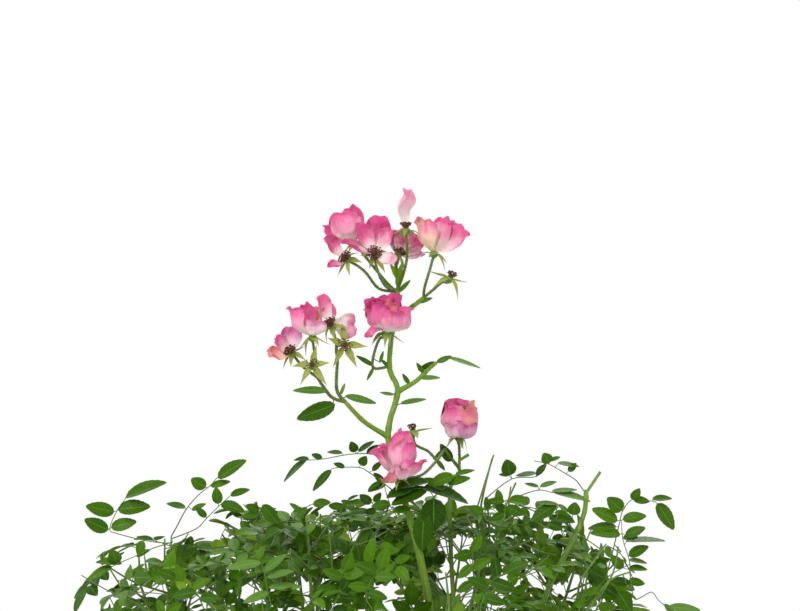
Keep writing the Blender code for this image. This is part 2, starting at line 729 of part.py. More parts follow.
def build_flowering_cane(green, leaf_green, pink):
    """The tall cane with its side boughs, leaves and blooms."""
    line = route([mm(point) for point in FLOWERING_CANE], 3)
    size = (FLOWERING_RADIUS, FLOWERING_TIP_RADIUS, 6)
    cut_from_root_stem(build_limb("flowering_cane", line, *size, green))
    lines = {}
    for name, points in (
        ("bough_left", BOUGH_LEFT),
        ("bough_right", BOUGH_RIGHT),
        ("bough_top_right", BOUGH_TOP_RIGHT),
        ("cane_low_right", CANE_LOW_RIGHT),
    ):
        lines[name] = route([mm(point) for point in points], 3)
        bough = build_limb(name, lines[name], BOUGH_TIP_RADIUS, SIDE_BOUGH_TIP_RADIUS, 6, green)
        cut_from_limb(bough, line, *size)
    for name, (points, length, width, pairs) in CANE_LEAVES.items():
        leaf_line = route([mm(point) for point in points], 3)
        leaf_end = leaf_line[-1] + end_heading(leaf_line) * length / 1000
        keep_clear_of(leaf_line + [leaf_end], LEAF_ROOM, LEAF_ROOM)
        leaf = fuse(name, compound_leaf(leaf_line, length / 1000, width / 1000, pairs, leaf_green))
        cut_from_limb(leaf, line, *size)
    stalk, looks_at, opening, petals = MIDDLE_BLOOM
    stalk = [mm(point) for point in stalk]
    bloom = fuse("bloom_middle", build_bloom(stalk, mm(looks_at), opening, petals, green, pink))
    cut_from_limb(bloom, line, *size)
    build_cluster("blooms_top", line, FLOWERING_TIP_RADIUS, [], TOP_BLOOMS, [], green, pink)
    for name, limb_name, twigs, blooms, leaves in (
        ("blooms_top_right", "bough_top_right", [], TOP_RIGHT_BLOOMS, []),
        ("blooms_left", "bough_left", LEFT_TWIGS, LEFT_BLOOMS, LEFT_LEAVES),
        ("leaves_right", "bough_right", [], [], RIGHT_LEAVES),
        ("blooms_low", "cane_low_right", LOW_TWIGS, LOW_BLOOMS, LOW_LEAVES),
    ):
        build_cluster(name, lines[limb_name], SIDE_BOUGH_TIP_RADIUS, twigs, blooms, leaves, green, pink)


def build_canes(green):
    """The main canes, the boughs that rise from them, and the line of each limb by its name."""
    lines = {"cane_%d" % (i + 1): cane_line(i) for i in range(CANE_COUNT)}
    lines["cane_middle"] = route([mm(point) for point in MIDDLE_CANE], 2)
    size = (CANE_RADIUS, CANE_TIP_RADIUS, 6)
    for name, line in lines.items():
        cut_from_root_stem(build_limb(name, line, *size, green))
    boughs = {"bough_%d" % (i + 1): upper_bough_line(i, lines) for i in range(UPPER_MASS_COUNT - 1)}
    foot = along(lines["cane_1"], CANE_RIGHT_FOOT_SHARE)[0]
    boughs["cane_right"] = route([foot] + [mm(point) for point in CANE_RIGHT], 3)
    for i, (name, line) in enumerate(boughs.items()):
        parent = "cane_1" if name == "cane_right" else "cane_%d" % (i * 2 + 1)
        bough = build_limb(name, line, BOUGH_RADIUS, BOUGH_TIP_RADIUS, 6, green)
        cut_from_limb(bough, lines[parent], *size)
    return lines | boughs


def build_foliage(lines, material):
    """The masses, each on the tip of its own limb."""
    middles = mass_middles()
    stems, tall = {}, {name: [] for name in middles}
    for name in middles:
        place, number = name.split("_")[1:]
        limb_name = "cane_" + number if place == "outer" else "bough_" + number
        line = lines.get(limb_name, lines["cane_middle"])
        stems[name] = mass_stem(name, line[-1], end_heading(line), middles)
    for name, points, leaves in TALL_SHOOTS:
        line = tall_shoot_line(points, stems[name])
        keep_clear_of(line[2:], TWIG_RADIUS, TWIG_RADIUS)
        tip = line[-1] - end_heading(line) * TWIG_TIP_RADIUS
        leaf_lines = [route([tip] + [mm(point) for point in leaf], 3) for leaf in leaves]
        for leaf_line in leaf_lines:
            keep_clear_of(leaf_line, LEAFLET_LENGTH * 0.7, LEAFLET_LENGTH * 0.7)
        tall[name].append((line, leaf_lines))
    for name in middles:
        shoots = OUTER_SHOOTS if "outer" in name else UPPER_SHOOTS
        build_mass(name, stems[name], middles, shoots, tall[name], material)


def main():
    bark = plain_material("bark", (0.16, 0.10, 0.06), 0.85)
    cane_green = plain_material("cane_green", (0.20, 0.34, 0.05), 0.5)
    leaf_green = plain_material("leaf_green", (0.06, 0.20, 0.03), 0.45)
    petal_pink = plain_material("petal_pink", (0.85, 0.30, 0.50), 0.6)
    root_stem("root_stem", 0, bark)
    lines = build_canes(cane_green)
    build_flowering_cane(cane_green, leaf_green, petal_pink)
    tip = (lines["cane_right"], BOUGH_TIP_RADIUS)
    build_cluster("leaves_far_right", *tip, [], [], FAR_RIGHT_LEAVES, leaf_green, petal_pink)
    build_foliage(lines, leaf_green)


remove_objects(bpy.data.objects)
main()
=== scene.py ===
import math
import random

import bmesh
import bpy
import numpy as np
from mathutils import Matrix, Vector, noise
from mathutils.geometry import interpolate_bezier


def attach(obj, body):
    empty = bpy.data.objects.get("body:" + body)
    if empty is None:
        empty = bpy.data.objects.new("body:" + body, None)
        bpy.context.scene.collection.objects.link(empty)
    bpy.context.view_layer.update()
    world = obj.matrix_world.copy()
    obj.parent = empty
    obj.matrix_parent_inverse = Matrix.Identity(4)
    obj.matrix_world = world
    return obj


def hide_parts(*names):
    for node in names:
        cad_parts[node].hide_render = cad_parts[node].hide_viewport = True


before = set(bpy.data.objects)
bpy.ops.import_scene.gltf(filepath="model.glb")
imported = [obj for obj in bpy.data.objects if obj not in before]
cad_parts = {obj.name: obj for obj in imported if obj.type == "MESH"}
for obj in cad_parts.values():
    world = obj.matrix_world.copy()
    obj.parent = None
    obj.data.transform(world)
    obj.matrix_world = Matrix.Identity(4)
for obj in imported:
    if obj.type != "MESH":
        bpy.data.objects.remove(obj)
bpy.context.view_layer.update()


# ------------------------------ root stem
# The woody knuckle that every cane leaves, flared where it enters the ground. It is old wood under grey-brown
# bark, split by age into upright ridges. It stands rooted on its flat cut at ground level.

STEM_HEIGHT = 0.060
STEM_RADIUS = 0.0145
FLARE_RADIUS = 0.024
FLARE_LOBES = 5
KNUCKLE_SHARE = 0.72
STEM_SIDES = 120
STEM_LEVELS = 44
FLARE_LOBE_DEPTH = 0.16
STEM_WAVES = 3
STEM_WAVE_TWIST = 4
STEM_WAVE_DEPTH = 0.05
KNUCKLE_ROUNDING = 10
BARK_RIDGES = 19
BARK_RIDGE_DEPTH = 0.0009
BARK_RIDGE_SHARPNESS = 0.6
BARK_RIDGE_LEVEL = 0.7
BARK_WANDER = 2.4
BARK_WANDER_ROUND = 2.2
BARK_WANDER_UP = 2.6
FINE_BARK_SCALE = 4.5
FINE_BARK_DEPTH = 0.6
STEM_CREASE = math.radians(50)


def deselect_all():
    bpy.ops.object.select_all(action="DESELECT")


def select_only(piece):
    deselect_all()
    piece.select_set(True)
    bpy.context.view_layer.objects.active = piece


def linear(hex_colour):
    """An sRGB hex colour as linear light."""
    channels = [int(hex_colour[i:i + 2], 16) / 255 for i in (1, 3, 5)]
    return [c / 12.92 if c <= 0.04045 else ((c + 0.055) / 1.055) ** 2.4 for c in channels] + [1]


def add_node(tree, kind, inputs=None, **settings):
    """Adds a node. Each input is given a value, or the output that it is linked to. The inputs of a Math
    node go by their numbers, and so do those of a Mix node: 0 is its share, and 6 and 7 are its colours."""
    node = tree.nodes.new(kind)
    for name, value in settings.items():
        setattr(node, name, value)
    for name, value in (inputs or {}).items():
        if isinstance(value, bpy.types.NodeSocket):
            tree.links.new(value, node.inputs[name])
        else:
            node.inputs[name].default_value = value
    return node


def empty_material(name):
    """A material with nothing but its output, and its node tree."""
    material = bpy.data.materials.new(name)
    material.use_nodes = True
    material.node_tree.nodes.clear()
    return material, material.node_tree


def weathered_bark(name, hollow, ridge, ridge_width_mm, lichen):
    """Old wood's bark: dark in its splits, grey-brown on its ridges, with pale flecks, rough all over."""
    material, tree = empty_material(name)
    place = add_node(tree, "ShaderNodeTexCoord").outputs["Object"]
    upright = add_node(tree, "ShaderNodeMapping", {"Vector": place, "Scale": (1, 1, 0.22)})
    splits = add_node(tree, "ShaderNodeTexNoise", {
        "Vector": upright.outputs[0], "Scale": 1000 / ridge_width_mm, "Detail": 5, "Roughness": 0.62})
    flecks = add_node(tree, "ShaderNodeTexNoise", {"Vector": place, "Scale": 420, "Detail": 3})
    depth = add_node(tree, "ShaderNodeMapRange", {
        "Value": splits.outputs[0], "From Min": 0.36, "From Max": 0.62})
    pale = add_node(tree, "ShaderNodeMapRange", {
        "Value": flecks.outputs[0], "From Min": 0.58, "From Max": 0.70, "To Max": 0.6})
    wood = add_node(tree, "ShaderNodeMix", {
        0: depth.outputs[0], 6: linear(hollow), 7: linear(ridge)}, data_type="RGBA")
    dusted = add_node(tree, "ShaderNodeMix", {
        0: pale.outputs[0], 6: wood.outputs[2], 7: linear(lichen)}, data_type="RGBA")
    relief = add_node(tree, "ShaderNodeBump", {
        "Height": depth.outputs[0], "Strength": 0.8, "Distance": 0.0006})
    shader = add_node(tree, "ShaderNodeBsdfPrincipled", {
        "Base Color": dusted.outputs[2], "Roughness": 0.86, "IOR": 1.45, "Normal": relief.outputs[0]})
    add_node(tree, "ShaderNodeOutputMaterial", {"Surface": shader.outputs[0]})
    return material


def stem_radius(share, turn):
    """How far the bark stands from the stem's middle line, at a share of its height and an angle round it."""
    flare = (1 - share) ** 3
    knuckle = math.sqrt(max(1 - KNUCKLE_ROUNDING * max(share - KNUCKLE_SHARE, 0) ** 2, 0))
    wave = STEM_WAVE_DEPTH * math.sin(STEM_WAVES * turn + STEM_WAVE_TWIST * share)
    lobes = 1 + FLARE_LOBE_DEPTH * flare * math.cos(FLARE_LOBES * turn) + wave
    around = Vector((
        math.cos(turn) * BARK_WANDER_ROUND, math.sin(turn) * BARK_WANDER_ROUND, share * BARK_WANDER_UP))
    wander = BARK_WANDER * noise.noise(around)
    ridge = abs(math.sin(BARK_RIDGES / 2 * turn + wander)) ** BARK_RIDGE_SHARPNESS - BARK_RIDGE_LEVEL
    ridge += FINE_BARK_DEPTH * noise.noise(around * FINE_BARK_SCALE)
    return (STEM_RADIUS + (FLARE_RADIUS - STEM_RADIUS) * flare) * lobes * knuckle + ridge * BARK_RIDGE_DEPTH


deselect_all()
bpy.ops.mesh.primitive_circle_add(vertices=STEM_SIDES, radius=FLARE_RADIUS, fill_type="NGON")
stem_bark = bpy.context.object
stem_bark.name = "root_stem_bark"
bpy.ops.object.mode_set(mode="EDIT")
for level in range(STEM_LEVELS):
    bpy.ops.mesh.extrude_region_move(TRANSFORM_OT_translate={"value": (0, 0, STEM_HEIGHT / STEM_LEVELS)})
bpy.ops.mesh.select_all(action="SELECT")
bpy.ops.mesh.normals_make_consistent(inside=False)
bpy.ops.object.mode_set(mode="OBJECT")
for vertex in stem_bark.data.vertices:
    turn = math.atan2(vertex.co.y, vertex.co.x)
    radius = stem_radius(vertex.co.z / STEM_HEIGHT, turn)
    vertex.co.x, vertex.co.y = radius * math.cos(turn), radius * math.sin(turn)
bpy.ops.object.shade_smooth_by_angle(angle=STEM_CREASE)
stem_bark.data.materials.append(weathered_bark("weathered_rose_bark", "#2B1F17", "#7A6450", 2.4, "#A79B84"))
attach(stem_bark, "root")
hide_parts("root_stem")


# ------------------------------ main canes and boughs
# The framework: eight canes that arch out of the stem's side, one through the middle, four boughs that rise
# from them and a thin cane at the right. Living wood under a smooth green skin that has browned with age
# low down, with slight swellings at the old leaf nodes. Each grows out of the limb below it.

UP = Vector((0, 0, 1))
CROWN_MIDDLE = Vector((-0.030, 0.0, 0.255))
CROWN_REACH = 0.280
CROWN_DEPTH = 0.250
CANE_COUNT = 8
FIRST_CANE_AZIMUTH = 335
CANE_RADIUS = 0.0044
CANE_TIP_RADIUS = 0.0030
CANE_FOOT_HEIGHT = 0.026
CANE_STAGGER = 0.010
CANE_LEAVES_OUT = 0.028
CANE_LEAVES_UP = 0.022
CANE_ARCH_SHARE = 0.62
CANE_END_REACH = 0.42
CANE_END_HEIGHT = 0.172
CANE_STEPS = 2
ARCH_RISE = 0.012
LIMB_STEPS = 3
BOUGH_RADIUS = 0.0027
BOUGH_TIP_RADIUS = 0.0021
UPPER_MASS_COUNT = 5
UPPER_MASS_REACH = 0.40
UPPER_BOUGH_FOOT_SHARE = 0.42
UPPER_BOUGH_REACH = UPPER_MASS_REACH * 0.78
UPPER_BOUGH_HEIGHT = 0.262
NODE_SPACING = 0.028
NODE_LENGTH = 0.0022
NODE_SWELLING = 0.16
FOOT_SWELLING = 0.30
FOOT_SWELLING_RADII = 3
SKIN_LUMP_DEPTH = 0.05
SKIN_LUMP_SCALE = 300
SKIN_STEP = 0.0025
TUBE_CREASE = math.radians(60)
SHORTEST_LENGTH = 1e-6

# How a rounded tip closes: how far beyond the line's end, and how wide, both in tip radii.
ROUNDED_TIP = [(0.5, 0.86), (0.85, 0.5), (1.0, 0.12)]

# The two canes that follow no ring, as points in mm.
MIDDLE_CANE = [(-3, 7, 42), (-7, 15, 90), (-22, 14, 180), (-28, 8, 262)]
CANE_RIGHT = [(100, -34, 230), (126, -60, 317), (141, -70, 351), (155, -75, 384), (157, -76, 404)]
CANE_RIGHT_FOOT_SHARE = 0.8


def mm(point):
    """A point given in mm, in metres."""
    return Vector(point) / 1000


def side(direction, towards):
    """The part of towards that stands square to direction, as a unit vector."""
    across = towards - direction * towards.dot(direction)
    if across.length < SHORTEST_LENGTH:
        across = direction.orthogonal()
    return across.normalized()


def turned(direction, angle, opening):
    """A direction that leaves the given one by an opening, at that angle round it."""
    u = side(direction, UP)
    v = direction.cross(u)
    out = u * math.cos(angle) + v * math.sin(angle)
    return (direction * math.cos(opening) + out * math.sin(opening)).normalized()


def route(points, steps):
    """A smooth line through the points, with that many steps between each two."""
    line = []
    for i in range(len(points) - 1):
        before = points[max(i - 1, 0)]
        a, b = points[i], points[i + 1]
        after = points[min(i + 2, len(points) - 1)]
        bend = interpolate_bezier(a, a + (b - before) / 6, b - (after - a) / 6, b, steps + 1)
        line += bend[:-1]
    return line + [points[-1]]


def shares_of(line):
    """How far along a line each of its points lies, from 0 to 1."""
    reached = [0]
    for a, b in zip(line, line[1:]):
        reached.append(reached[-1] + (b - a).length)
    return [length / reached[-1] for length in reached]


def along(line, share):
    """The point and the direction at that share of a line's length."""
    shares = shares_of(line)
    i = max(k for k in range(len(line) - 1) if shares[k] <= share)
    part = (share - shares[i]) / (shares[i + 1] - shares[i])
    return line[i].lerp(line[i + 1], part), (line[i + 1] - line[i]).normalized()


def end_heading(line):
    """The direction in which a line ends."""
    return (line[-1] - line[-2]).normalized()


def length_of(line):
    return sum((b - a).length for a, b in zip(line, line[1:]))


def crown_point(degrees, reach, height):
    """A point at that azimuth, at a share of the crown's reach, at that height."""
    turn = math.radians(degrees)
    across = Vector((CROWN_REACH * math.cos(turn), CROWN_DEPTH * math.sin(turn), 0)) * reach
    return Vector((CROWN_MIDDLE.x, CROWN_MIDDLE.y, height)) + across


def cane_azimuth(index):
    return FIRST_CANE_AZIMUTH + index * 360 / CANE_COUNT


def cane_line(index):
    """A main cane, from inside the root stem out and up to the foot of its mass of foliage."""
    degrees = cane_azimuth(index)
    out = (crown_point(degrees, 1, 0) - crown_point(degrees, 0, 0)).normalized()
    foot = UP * (CANE_FOOT_HEIGHT + CANE_STAGGER * (index % 2))
    leaving = foot + out * CANE_LEAVES_OUT + UP * CANE_LEAVES_UP
    tip = crown_point(degrees, CANE_END_REACH, CANE_END_HEIGHT + CANE_STAGGER * (index % 3))
    return route([foot, leaving, foot.lerp(tip, CANE_ARCH_SHARE) + UP * ARCH_RISE, tip], CANE_STEPS)


def upper_bough_line(index):
    """A bough that rises from a main cane to the foot of an upper mass."""
    start = along(limb_lines["cane_%d" % (index * 2 + 1)], UPPER_BOUGH_FOOT_SHARE)[0]
    tip = crown_point(cane_azimuth(index * 2), UPPER_BOUGH_REACH, UPPER_BOUGH_HEIGHT)
    return route([start, start.lerp(tip, 0.5) + UP * ARCH_RISE, tip], LIMB_STEPS)


def grown_limb(line, root_radius, tip_radius):
    """A limb's points with the radius of its skin: an even taper, a spread foot, a swelling at each node
    and a rounded tip."""
    fine = route(line, max(round(length_of(line) / (len(line) - 1) / SKIN_STEP), 2))
    whole = length_of(line)
    skin = []
    for point, share in zip(fine, shares_of(fine)):
        radius = root_radius + (tip_radius - root_radius) * share
        from_node = (share * whole + NODE_SPACING / 2) % NODE_SPACING - NODE_SPACING / 2
        radius *= 1 + NODE_SWELLING * math.exp(-(from_node / NODE_LENGTH) ** 2)
        radius *= 1 + FOOT_SWELLING * math.exp(-share * whole / (FOOT_SWELLING_RADII * root_radius))
        radius *= 1 + SKIN_LUMP_DEPTH * noise.noise(point * SKIN_LUMP_SCALE)
        skin.append((point, radius))
    for out, size in ROUNDED_TIP:
        skin.append((fine[-1] + end_heading(fine) * tip_radius * out, tip_radius * size))
    return skin


def new_piece(name, data):
    """A new object in the scene, as the only one selected."""
    made = bpy.data.objects.new(name, data)
    bpy.context.scene.collection.objects.link(made)
    select_only(made)
    return made


def tubes(name, skins, sides, material):
    """Round tubes as one mesh. Each skin is a row of points with radii, and both its ends are closed. A bevel
    of that resolution gives a tube as many sides as asked for."""
    curve = bpy.data.curves.new(name, "CURVE")
    curve.dimensions = "3D"
    curve.bevel_depth = 1
    curve.bevel_resolution = sides // 2 - 2
    curve.use_fill_caps = True
    for skin in skins:
        spline = curve.splines.new("POLY")
        spline.points.add(len(skin) - 1)
        spline.points.foreach_set("co", [number for point, radius in skin for number in (*point, 1)])
        spline.points.foreach_set("radius", [radius for point, radius in skin])
    new_piece(name, curve)
    bpy.ops.object.convert(target="MESH")
    made = bpy.context.object
    bpy.ops.object.mode_set(mode="EDIT")
    bpy.ops.mesh.select_all(action="SELECT")
    bpy.ops.mesh.remove_doubles(threshold=SHORTEST_LENGTH)
    bpy.ops.mesh.normals_make_consistent(inside=False)
    bpy.ops.object.mode_set(mode="OBJECT")
    bpy.ops.object.shade_smooth_by_angle(angle=TUBE_CREASE)
    made.data.materials.clear()
    made.data.materials.append(material)
    return made


def cane_skin(name, young, ripe, aged="#6B4E33", aged_below=0.0, aged_above=0.05):
    """A cane's skin: waxy, with fine lengthwise streaks, and browned with age below the heights given. Left
    at their defaults, they leave all that grows clear of the ground unaged."""
    material, tree = empty_material(name)
    place = add_node(tree, "ShaderNodeTexCoord").outputs["Object"]
    lengthwise = add_node(tree, "ShaderNodeMapping", {"Vector": place, "Scale": (1, 1, 0.12)})
    streaks = add_node(tree, "ShaderNodeTexNoise", {
        "Vector": lengthwise.outputs[0], "Scale": 900, "Detail": 3, "Roughness": 0.6})
    patches = add_node(tree, "ShaderNodeTexNoise", {"Vector": place, "Scale": 55, "Detail": 3})
    height = add_node(tree, "ShaderNodeSeparateXYZ", {0: place})
    wander = add_node(tree, "ShaderNodeMath", {0: patches.outputs[0], 1: 0.10, 2: height.outputs[2]},
                      operation="MULTIPLY_ADD")
    age = add_node(tree, "ShaderNodeMapRange", {
        "Value": wander.outputs[0], "From Min": aged_below, "From Max": aged_above, "To Min": 1, "To Max": 0})
    streak_share = add_node(tree, "ShaderNodeMapRange", {
        "Value": streaks.outputs[0], "From Min": 0.35, "From Max": 0.68})
    green = add_node(tree, "ShaderNodeMix", {
        0: streak_share.outputs[0], 6: linear(ripe), 7: linear(young)}, data_type="RGBA")
    skin = add_node(tree, "ShaderNodeMix", {
        0: age.outputs[0], 6: green.outputs[2], 7: linear(aged)}, data_type="RGBA")
    roughness = add_node(tree, "ShaderNodeMapRange", {
        "Value": age.outputs[0], "To Min": 0.42, "To Max": 0.78})
    relief = add_node(tree, "ShaderNodeBump", {
        "Height": streaks.outputs[0], "Strength": 0.5, "Distance": 0.00025})
    shader = add_node(tree, "ShaderNodeBsdfPrincipled", {
        "Base Color": skin.outputs[2], "Roughness": roughness.outputs[0], "IOR": 1.45,
        "Specular IOR Level": 0.25, "Normal": relief.outputs[0]})
    add_node(tree, "ShaderNodeOutputMaterial", {"Surface": shader.outputs[0]})
    return material


limb_lines = {"cane_%d" % (i + 1): cane_line(i) for i in range(CANE_COUNT)}
limb_lines["cane_middle"] = route([mm(point) for point in MIDDLE_CANE], CANE_STEPS)
for i in range(UPPER_MASS_COUNT - 1):
    limb_lines["bough_%d" % (i + 1)] = upper_bough_line(i)
cane_right_foot = along(limb_lines["cane_1"], CANE_RIGHT_FOOT_SHARE)[0]
limb_lines["cane_right"] = route([cane_right_foot] + [mm(point) for point in CANE_RIGHT], LIMB_STEPS)

thick_lines = [line for name, line in limb_lines.items() if name.startswith("cane") and name != "cane_right"]
thin_lines = [line for name, line in limb_lines.items() if name.startswith("bough") or name == "cane_right"]
aged_skin = cane_skin("aging_cane_skin", "#7C9A42", "#4F7026", "#54402A", aged_below=0.15, aged_above=0.36)
main_canes = tubes(
    "main_canes",
    [grown_limb(line, CANE_RADIUS, CANE_TIP_RADIUS) for line in thick_lines],
    sides=14, material=aged_skin,
)
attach(main_canes, "root")
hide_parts("cane_middle", *["cane_%d" % (i + 1) for i in range(CANE_COUNT)])

rising_boughs = tubes(
    "rising_boughs",
    [grown_limb(line, BOUGH_RADIUS, BOUGH_TIP_RADIUS) for line in thin_lines],
    sides=12, material=aged_skin,
)
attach(rising_boughs, "root")
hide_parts("cane_right", *["bough_%d" % (i + 1) for i in range(UPPER_MASS_COUNT - 1)])


# ------------------------------ flowering cane and its side boughs
# This year's tall cane, thick and sappy, with the boughs that fork from it below the blooms. Its skin is
# bright green and still waxy. It bends a little at each fork, where the next length of it starts.

FLOWERING_RADIUS = 0.0049
FLOWERING_TIP_RADIUS = 0.0019
SIDE_BOUGH_TIP_RADIUS = 0.0017

# The cane and its boughs as points in mm, from foot to tip.
FLOWERING_CANE = [
    (3, -7, 44), (6, -15, 90), (30, -70, 170), (34, -95, 240), (20, -96, 337), (3, -92, 402),
    (-10, -77, 451), (-2, -66, 488), (-9, -62, 509), (-5, -58, 552), (-3, -56, 572),
]
SIDE_BOUGHS = {
    "bough_left": [(-10, -77, 451), (-30, -80, 464), (-46, -83, 481)],
    "bough_right": [(-2, -66, 488), (13, -62, 496), (23, -58, 505), (30, -56, 511)],
    "bough_top_right": [(-5, -58, 546), (10, -50, 558), (20, -46, 566)],
    "cane_low_right": [(28, -66, 163), (46, -54, 260), (44, -45, 340), (43, -40, 400), (51, -36, 414)],
}

flowering_line = route([mm(point) for point in FLOWERING_CANE], LIMB_STEPS)
bough_lines = {
    name: route([mm(point) for point in points], LIMB_STEPS) for name, points in SIDE_BOUGHS.items()}
young_skin = cane_skin("young_cane_skin", "#728E2C", "#56781C", "#5A5430", aged_below=0.06, aged_above=0.26)
flowering_cane = tubes(
    "flowering_cane_skin",
    [grown_limb(flowering_line, FLOWERING_RADIUS, FLOWERING_TIP_RADIUS)],
    sides=16, material=young_skin,
)
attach(flowering_cane, "root")
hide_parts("flowering_cane")

side_boughs = tubes(
    "side_boughs",
    [grown_limb(line, BOUGH_TIP_RADIUS, SIDE_BOUGH_TIP_RADIUS) for line in bough_lines.values()],
    sides=12, material=young_skin,
)
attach(side_boughs, "root")
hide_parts(*bough_lines)


# ------------------------------ stems and shoots of the foliage
# Inside the crown each cane and bough carries on as a stem, and shoots leave it all round by the golden
# angle. Stems are older and brown, shoots are this year's and green, and short side twigs leave the shoots.

GOLDEN_ANGLE = math.radians(137.5)
JOINT_GAP = 0.0003
FRONT = Vector((0, -1, 0))
MEASURING_PLANE = -0.05

# The crown's dome, its level top and how that slopes and drops away, and the lumps of both.
CROWN_TOP = 0.402
CROWN_FOOT = 0.112
DOME_POWER = 3.0
DOME_EDGE = 0.93
DOME_LUMP = 0.09
DEPTH_IN_A_METRE = 4
LEAFY_TOP = 0.391
RISE_TO_RIGHT = 0.05
DROP_TO_BACK = 0.15
END_DROP = 3
LEVEL_TO = 0.15
TOP_LUMP = 0.018
LUMP_SCALE = 17
FINE_LUMP_SCALE = 45
FINE_LUMP_SHARE = 0.6

# The masses, their stems, and the shoots and side twigs of each. Openings are in degrees.
OUTER_MASS_REACH = 0.70
OUTER_MASS_HEIGHT = 0.250
OUTER_MASS_STAGGER = 0.020
UPPER_MASS_HEIGHT = 0.335
TOP_MASS_RISE = 0.012
STEM_START = 0.014
STEM_BEND_SHARE = 0.7
STEM_END_SHARE = 1.1
STEM_END_RISE = 0.045
TWIG_RADIUS = 0.0011
TWIG_TIP_RADIUS = 0.0007
SIDE_TWIG_TIP_RADIUS = TWIG_TIP_RADIUS * 0.7
SPACE_MARGIN = 0.0008
LIMB_MARGIN = 0.0016
EDGE_MARGIN = 0.005
OUTER_SHOOTS = 9
UPPER_SHOOTS = 8
SHOOT_STEPS = 2
SHOOT_SMOOTHING = 4
SHOOT_RISE = 0.25
SHOOT_WANDER = 0.12
SHOOT_OPENING = (48, 74)
SHOOT_LENGTH = (0.070, 0.115)
FIRST_SHOOT_SHARE = 0.20
LAST_SHOOT_OPENING = 0.2
TRIM_STEPS = 6
FEWEST_TRIM_STEPS = 2
TALL_SHOOT_FROM = 0.3
TALL_SHOOT_RANGE = 0.65
TALL_SHOOT_PLACES = 9
SIDE_TWIGS = 2
SIDE_TWIG_FROM = 0.35
SIDE_TWIG_RANGE = 0.45
SIDE_TWIG_OPENING = (38, 62)
SIDE_TWIG_LENGTH = (0.030, 0.055)
SIDE_TWIG_TRIES = 4
SIDE_TWIG_SMOOTHING = 2
SIDE_TWIG_MARGIN = 0.010
TURN_WANDER = 0.4

# How far the foliage leaves the flowering cane and the right cane open to the front, and from what height.
CLEAR_STEPS = 9
CLEAR_DEPTH = 0.16
CLEAR_RADIUS = 0.006
CLEAR_FROM = 0.29
RIGHT_CLEAR_FROM = 0.345

# Narrow gaps run right through the crown, all towards one place far in front of it. Each is where it crosses
# the measuring plane, across and up, and its radius, in mm.
GAPS_MEET = Vector((0, -2.045, 0.70))
GAPS = [
    (40, 355, 9), (53, 354, 8), (44, 337, 9), (51, 328, 9), (39, 318, 8), (58, 317, 8), (84, 306, 7),
    (112, 329, 5), (117, 320, 5), (129, 365, 5), (141, 318, 7), (152, 322, 9), (168, 365, 8), (186, 334, 8),
    (-208, 348, 9), (-229, 343, 9), (-219, 314, 7), (-205, 318, 6), (-179, 307, 7), (-165, 366, 7),
    (-141, 376, 6), (-128, 318, 8), (-126, 308, 7), (-82, 319, 7), (-37, 363, 5), (-18, 318, 5),
]

# Shoots that stand out of the crown: the mass that each grows from, and the shoot's points in mm.
TALL_SHOOTS = [
    ("foliage_outer_6", [(-188, -74, 290), (-192, -90, 340), (-192, -88, 366)]),
    ("foliage_upper_1", [(76, -52, 366), (74, -60, 396)]),
    ("foliage_upper_1", [(92, -64, 372), (98, -76, 394)]),
    ("foliage_upper_1", [(69, -62, 391), (78, -62, 430)]),
    ("foliage_outer_1", [(150, -88, 298), (159, -90, 309), (176, -90, 331), (193, -90, 338)]),
    ("foliage_outer_1", [(168, -88, 318), (177, -90, 333), (181, -91, 346), (183, -90, 360)]),
    ("foliage_outer_1", [(150, -90, 326), (161, -90, 345), (173, -90, 362)]),
]

keep_clear = []


def keep_clear_of(line, root_radius, tip_radius):
    """Remembers a line and its thickness, so that the foliage keeps clear of it."""
    for a, b, share in zip(line, line[1:], shares_of(line)):
        keep_clear.append((a, b, root_radius + (tip_radius - root_radius) * share))


def clear_of_limbs(points, margin):
    """True where all of the points keep more than the margin from every remembered line."""
    starts = np.array([a for a, b, r in keep_clear])
    runs = np.array([b - a for a, b, r in keep_clear])
    radii = np.array([r for a, b, r in keep_clear])
    spots = np.array(points)[:, None, :] - starts
    share = np.clip((spots * runs).sum(2) / (runs * runs).sum(1), 0, 1)
    gaps = np.linalg.norm(spots - share[..., None] * runs, axis=2) - radii
    return gaps.min() > margin


def mass_middles():
    """The middle of each mass: a low ring, a smaller ring above it, and one on top."""
    middles = {}
    for i in range(CANE_COUNT):
        height = OUTER_MASS_HEIGHT + OUTER_MASS_STAGGER * (i % 2)
        middles["foliage_outer_%d" % (i + 1)] = crown_point(cane_azimuth(i), OUTER_MASS_REACH, height)
    for i in range(UPPER_MASS_COUNT - 1):
        middle = crown_point(cane_azimuth(i * 2), UPPER_MASS_REACH, UPPER_MASS_HEIGHT)
        middles["foliage_upper_%d" % (i + 1)] = middle
    middles["foliage_upper_%d" % UPPER_MASS_COUNT] = crown_point(0, 0, UPPER_MASS_HEIGHT + TOP_MASS_RISE)
    return middles


def in_gap(point):
    """True in one of the gaps."""
    share = (MEASURING_PLANE - GAPS_MEET.y) / (point.y - GAPS_MEET.y)
    spot = GAPS_MEET.lerp(point, share) * 1000
    return any(math.hypot(spot.x - x, spot.z - z) < radius for x, z, radius in GAPS)


def depth_in_crown(point):
    """How far out in the crown a point lies: 0 in its middle, 1 on the dome that shuts it in."""
    off = point - CROWN_MIDDLE
    half = CROWN_TOP - CROWN_MIDDLE.z if off.z > 0 else CROWN_MIDDLE.z - CROWN_FOOT
    flat = math.hypot(off.x / CROWN_REACH, off.y / CROWN_DEPTH)
    return (flat**DOME_POWER + abs(off.z / half) ** DOME_POWER) ** (1 / DOME_POWER)


